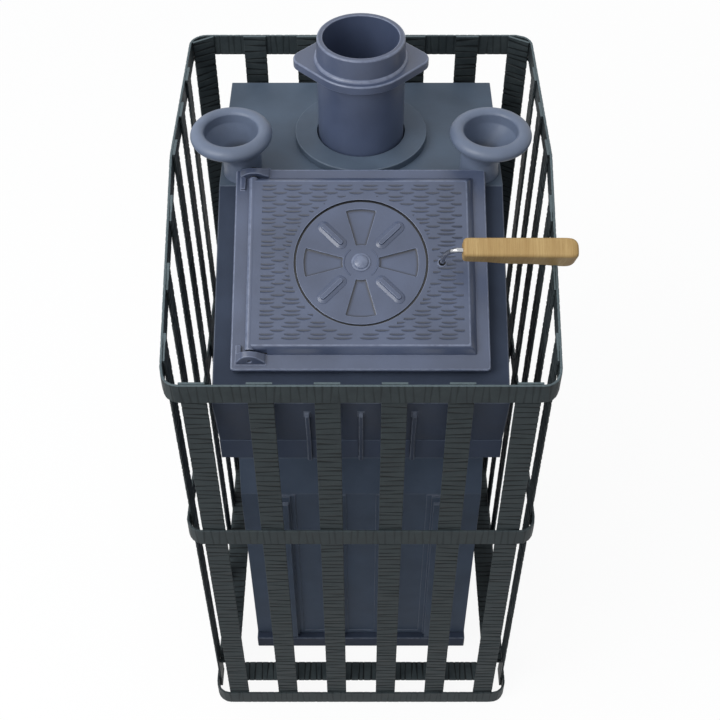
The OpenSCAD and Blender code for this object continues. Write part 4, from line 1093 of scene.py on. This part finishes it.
def latch(body, place, width, grip_rise):
    lx = width / 2 - LATCH_INSET
    rise, bend, tall = grip_rise + 2.5, 19, 42
    form = Form(place)
    form.tube([(lx, LATCH_Y, 1.0), (lx, LATCH_Y, DOOR_TOP + 1.5)], ROD_R)
    form.place = latch_place(place, lx)
    turn = [(bend - bend * cos(a), 0, rise - tall + tall * sin(a)) for a in quarter(12)]
    form.tube([(0, 0, 0.8), (0, 0, 15)] + turn + [(50, 0, rise), (84, 0, rise)], ROD_R)
    form.piece(body + "_rod_bent", body + "_rod", body, "bright_rod", CHROME)
    grip(body, form.place, grip_rise)


def grip(body, place, rise):
    """The wooden grip: a loft of rounded sections with a level back and a wavy belly."""
    start, length, thick, width = 25.5, 166, 34.5, 31
    top, end_r, near_end = 14.1, 11, 6
    low = top - thick
    run = length - near_end - end_r
    stations = [0.0, 0.6, 1.8, 3.6, 6.0] + [near_end + run * k / 28 for k in range(1, 29)]
    stations += [length - end_r + end_r * sin(a) for a in quarter(8)[1:]]
    sections = []
    for x in stations:
        t = x / length
        belly = 23 * t ** 1.1 - 2.0 * sin(4.2 * pi * t - 0.6) * min(1, 3 * t)
        under, above = low - belly, top
        near, far = width / 2 - 3.8 + 2.0 * t, width / 2 + 1
        if x < near_end:
            ease = 4.5 - sqrt(max(0.0, 20.25 - (4.5 - x * 0.75) ** 2))
            under, above = under + ease, above - 0.9 * ease
            near, far = near - 0.9 * ease, far - 0.9 * ease
        elif x > length - end_r:
            ease = end_r - sqrt(max(0.0, end_r ** 2 - (x - length + end_r) ** 2))
            under, above = under + 0.6 * ease, above - 0.35 * ease
            near, far = near - 0.4 * ease, far - 0.6 * ease
        if x > length - 2 * end_r:
            ease = 1 - sqrt(max(0.0, 1 - ((x - length) / (2 * end_r) + 1) ** 2))
            under, far = under + 7 * ease, far - 5 * ease
        corner = max(0.4, min(5.0, 0.45 * (near + far), 0.45 * (above - under)))
        shape = rounded_rect(-near, far, under, above, corner)
        sections.append([(start + x, y, rise + z) for y, z in shape])
    form = Form(place)
    form.loft(sections)
    form.piece(body + "_grip_turned", body + "_grip", body, "wood", WOOD, crease=50)


door_frame("heater_door_frame", on_slope, *HEATER_FRAME)
door_leaf("heater_door", on_slope, *HEATER_FRAME, "heater_door", disc=True)
regulator()
latch("heater_latch", on_slope, HEATER_FRAME[0], 69)
door_frame("fire_door_frame", on_tunnel, *FIRE_FRAME)
door_leaf("fire_door", on_tunnel, *FIRE_FRAME, "fire_door")
latch("fire_latch", on_tunnel, FIRE_FRAME[0], 67.2)


# Back and inside

eased_copy("fuel_tunnel", "stove", IRON)
eased_copy("ash_drawer", "ash_drawer", DARK_IRON, 0.6)


def drawer_handle():
    form = Form()
    y, z = TUNNEL_END_Y + 5.3, 101.3
    half, out, bend, r = 50, 32, 12, 4
    left = [(bend - half - bend * cos(a), y + out - bend + bend * sin(a), z)
        for a in quarter(8)]
    right = [(-p[0], p[1], p[2]) for p in reversed(left)]
    form.tube([(-half, y, z)] + left + right + [(half, y, z)], r)
    form.piece("ash_drawer_handle_bent", "ash_drawer_handle", "ash_drawer", "bright_rod", CHROME)


drawer_handle()

# CAD nodes that show as they are, with only a material
for material, nodes in (
        (ROPE, ("base_seal", "heater_door_seal", "fire_door_seal")),
        # The hinge pins take the sooty iron so that their ends, seen in the lugs' holes, stay dark:
        # painted shade.
        (DARK_IRON, ("hearth_plate", "fire_grate", "flame_baffle", "stone_hopper", "left_steam_duct",
            "right_steam_duct", "heater_hinge_pin", "fire_hinge_pin")),
        (STEEL, ("tunnel_bolts", "heater_latch_cam", "fire_latch_cam"))):
    for node in nodes:
        slots = NODES[node].data.materials
        slots.clear()
        slots.append(material)


# Floor, light and camera


def seen_white(n):
    """1 for rays that show the background: from the camera, or mirrored or let through."""
    path = n.make("ShaderNodeLightPath")
    glossy = n.maths("MAXIMUM", path.outputs["Is Camera Ray"], path.outputs["Is Glossy Ray"])
    return n.maths("MAXIMUM", glossy, path.outputs["Is Transmission Ray"])


def floor():
    n = Nodes("pale floor")
    n.shader.inputs["Base Color"].default_value = (0.08, 0.08, 0.08, 1)
    n.shader.inputs["Roughness"].default_value = 1.0
    glow = n.make("ShaderNodeEmission", {"Color": (1, 1, 1, 1), "Strength": 1.0})
    shade = n.make("ShaderNodeBsdfDiffuse", {"Color": (0.9, 0.9, 0.9, 1)})
    seen = n.mixed(0.93, shade.outputs[0], glow.outputs[0])
    n.show(n.mixed(seen_white(n), n.shader.outputs[0], seen), "Material Output")
    mesh = bpy.data.meshes.new("floor")
    half = 12.0
    corners = [(-half, -half, 0), (half, -half, 0), (half, half, 0), (-half, half, 0)]
    mesh.from_pydata(corners, [], [(0, 1, 2, 3)])
    mesh.materials.append(n.owner)
    obj = new_object("floor", mesh)


def lights():
    """A sky that is brighter from the upper left, and two round lamps."""
    n = Nodes("studio", bpy.data.worlds)
    bpy.context.scene.world = n.owner
    towards = n.make("ShaderNodeVectorMath", {0: n.where["Generated"], 1: (-0.50, -0.10, 0.86)},
        operation="DOT_PRODUCT").outputs["Value"]
    ambient = n.make("ShaderNodeBackground",
        {"Color": (0.96, 0.98, 1.0, 1), "Strength": n.ramp(towards, -0.3, 1.0, 0.12, 1.12)})
    white = n.make("ShaderNodeBackground", {"Color": (1, 1, 1, 1), "Strength": 1.0})
    n.show(n.mixed(seen_white(n), ambient.outputs[0], white.outputs[0]), "World Output")
    for name, place, aim, size, power in (
            ("window", (-2.0, -1.5, 2.9), (0, 0, 0.9), 2.3, 58),
            ("front", (-0.8, -3.9, 2.6), (0, 0, 0.5), 2.4, 9)):
        data = bpy.data.lights.new(name, "AREA")
        data.shape = "DISK"
        data.size = size
        data.energy = power
        lamp = new_object(name, data)
        lamp.location = place
        lamp.rotation_euler = (Vector(aim) - Vector(place)).to_track_quat("-Z", "Y").to_euler()


def camera():
    picture_px, down = 720, radians(47.4)
    data = bpy.data.cameras.new("camera")
    data.sensor_width = 36
    data.lens = 59.45
    data.shift_x = -1 / picture_px
    cam = new_object("camera", data)
    cam.location = (0, -1.44882, 2.23938)
    cam.rotation_euler = (pi / 2 - down, 0, 0)
    bpy.context.scene.camera = cam


floor()
lights()
camera()
bpy.context.scene.view_settings.view_transform = "Standard"
bpy.context.view_layer.update()
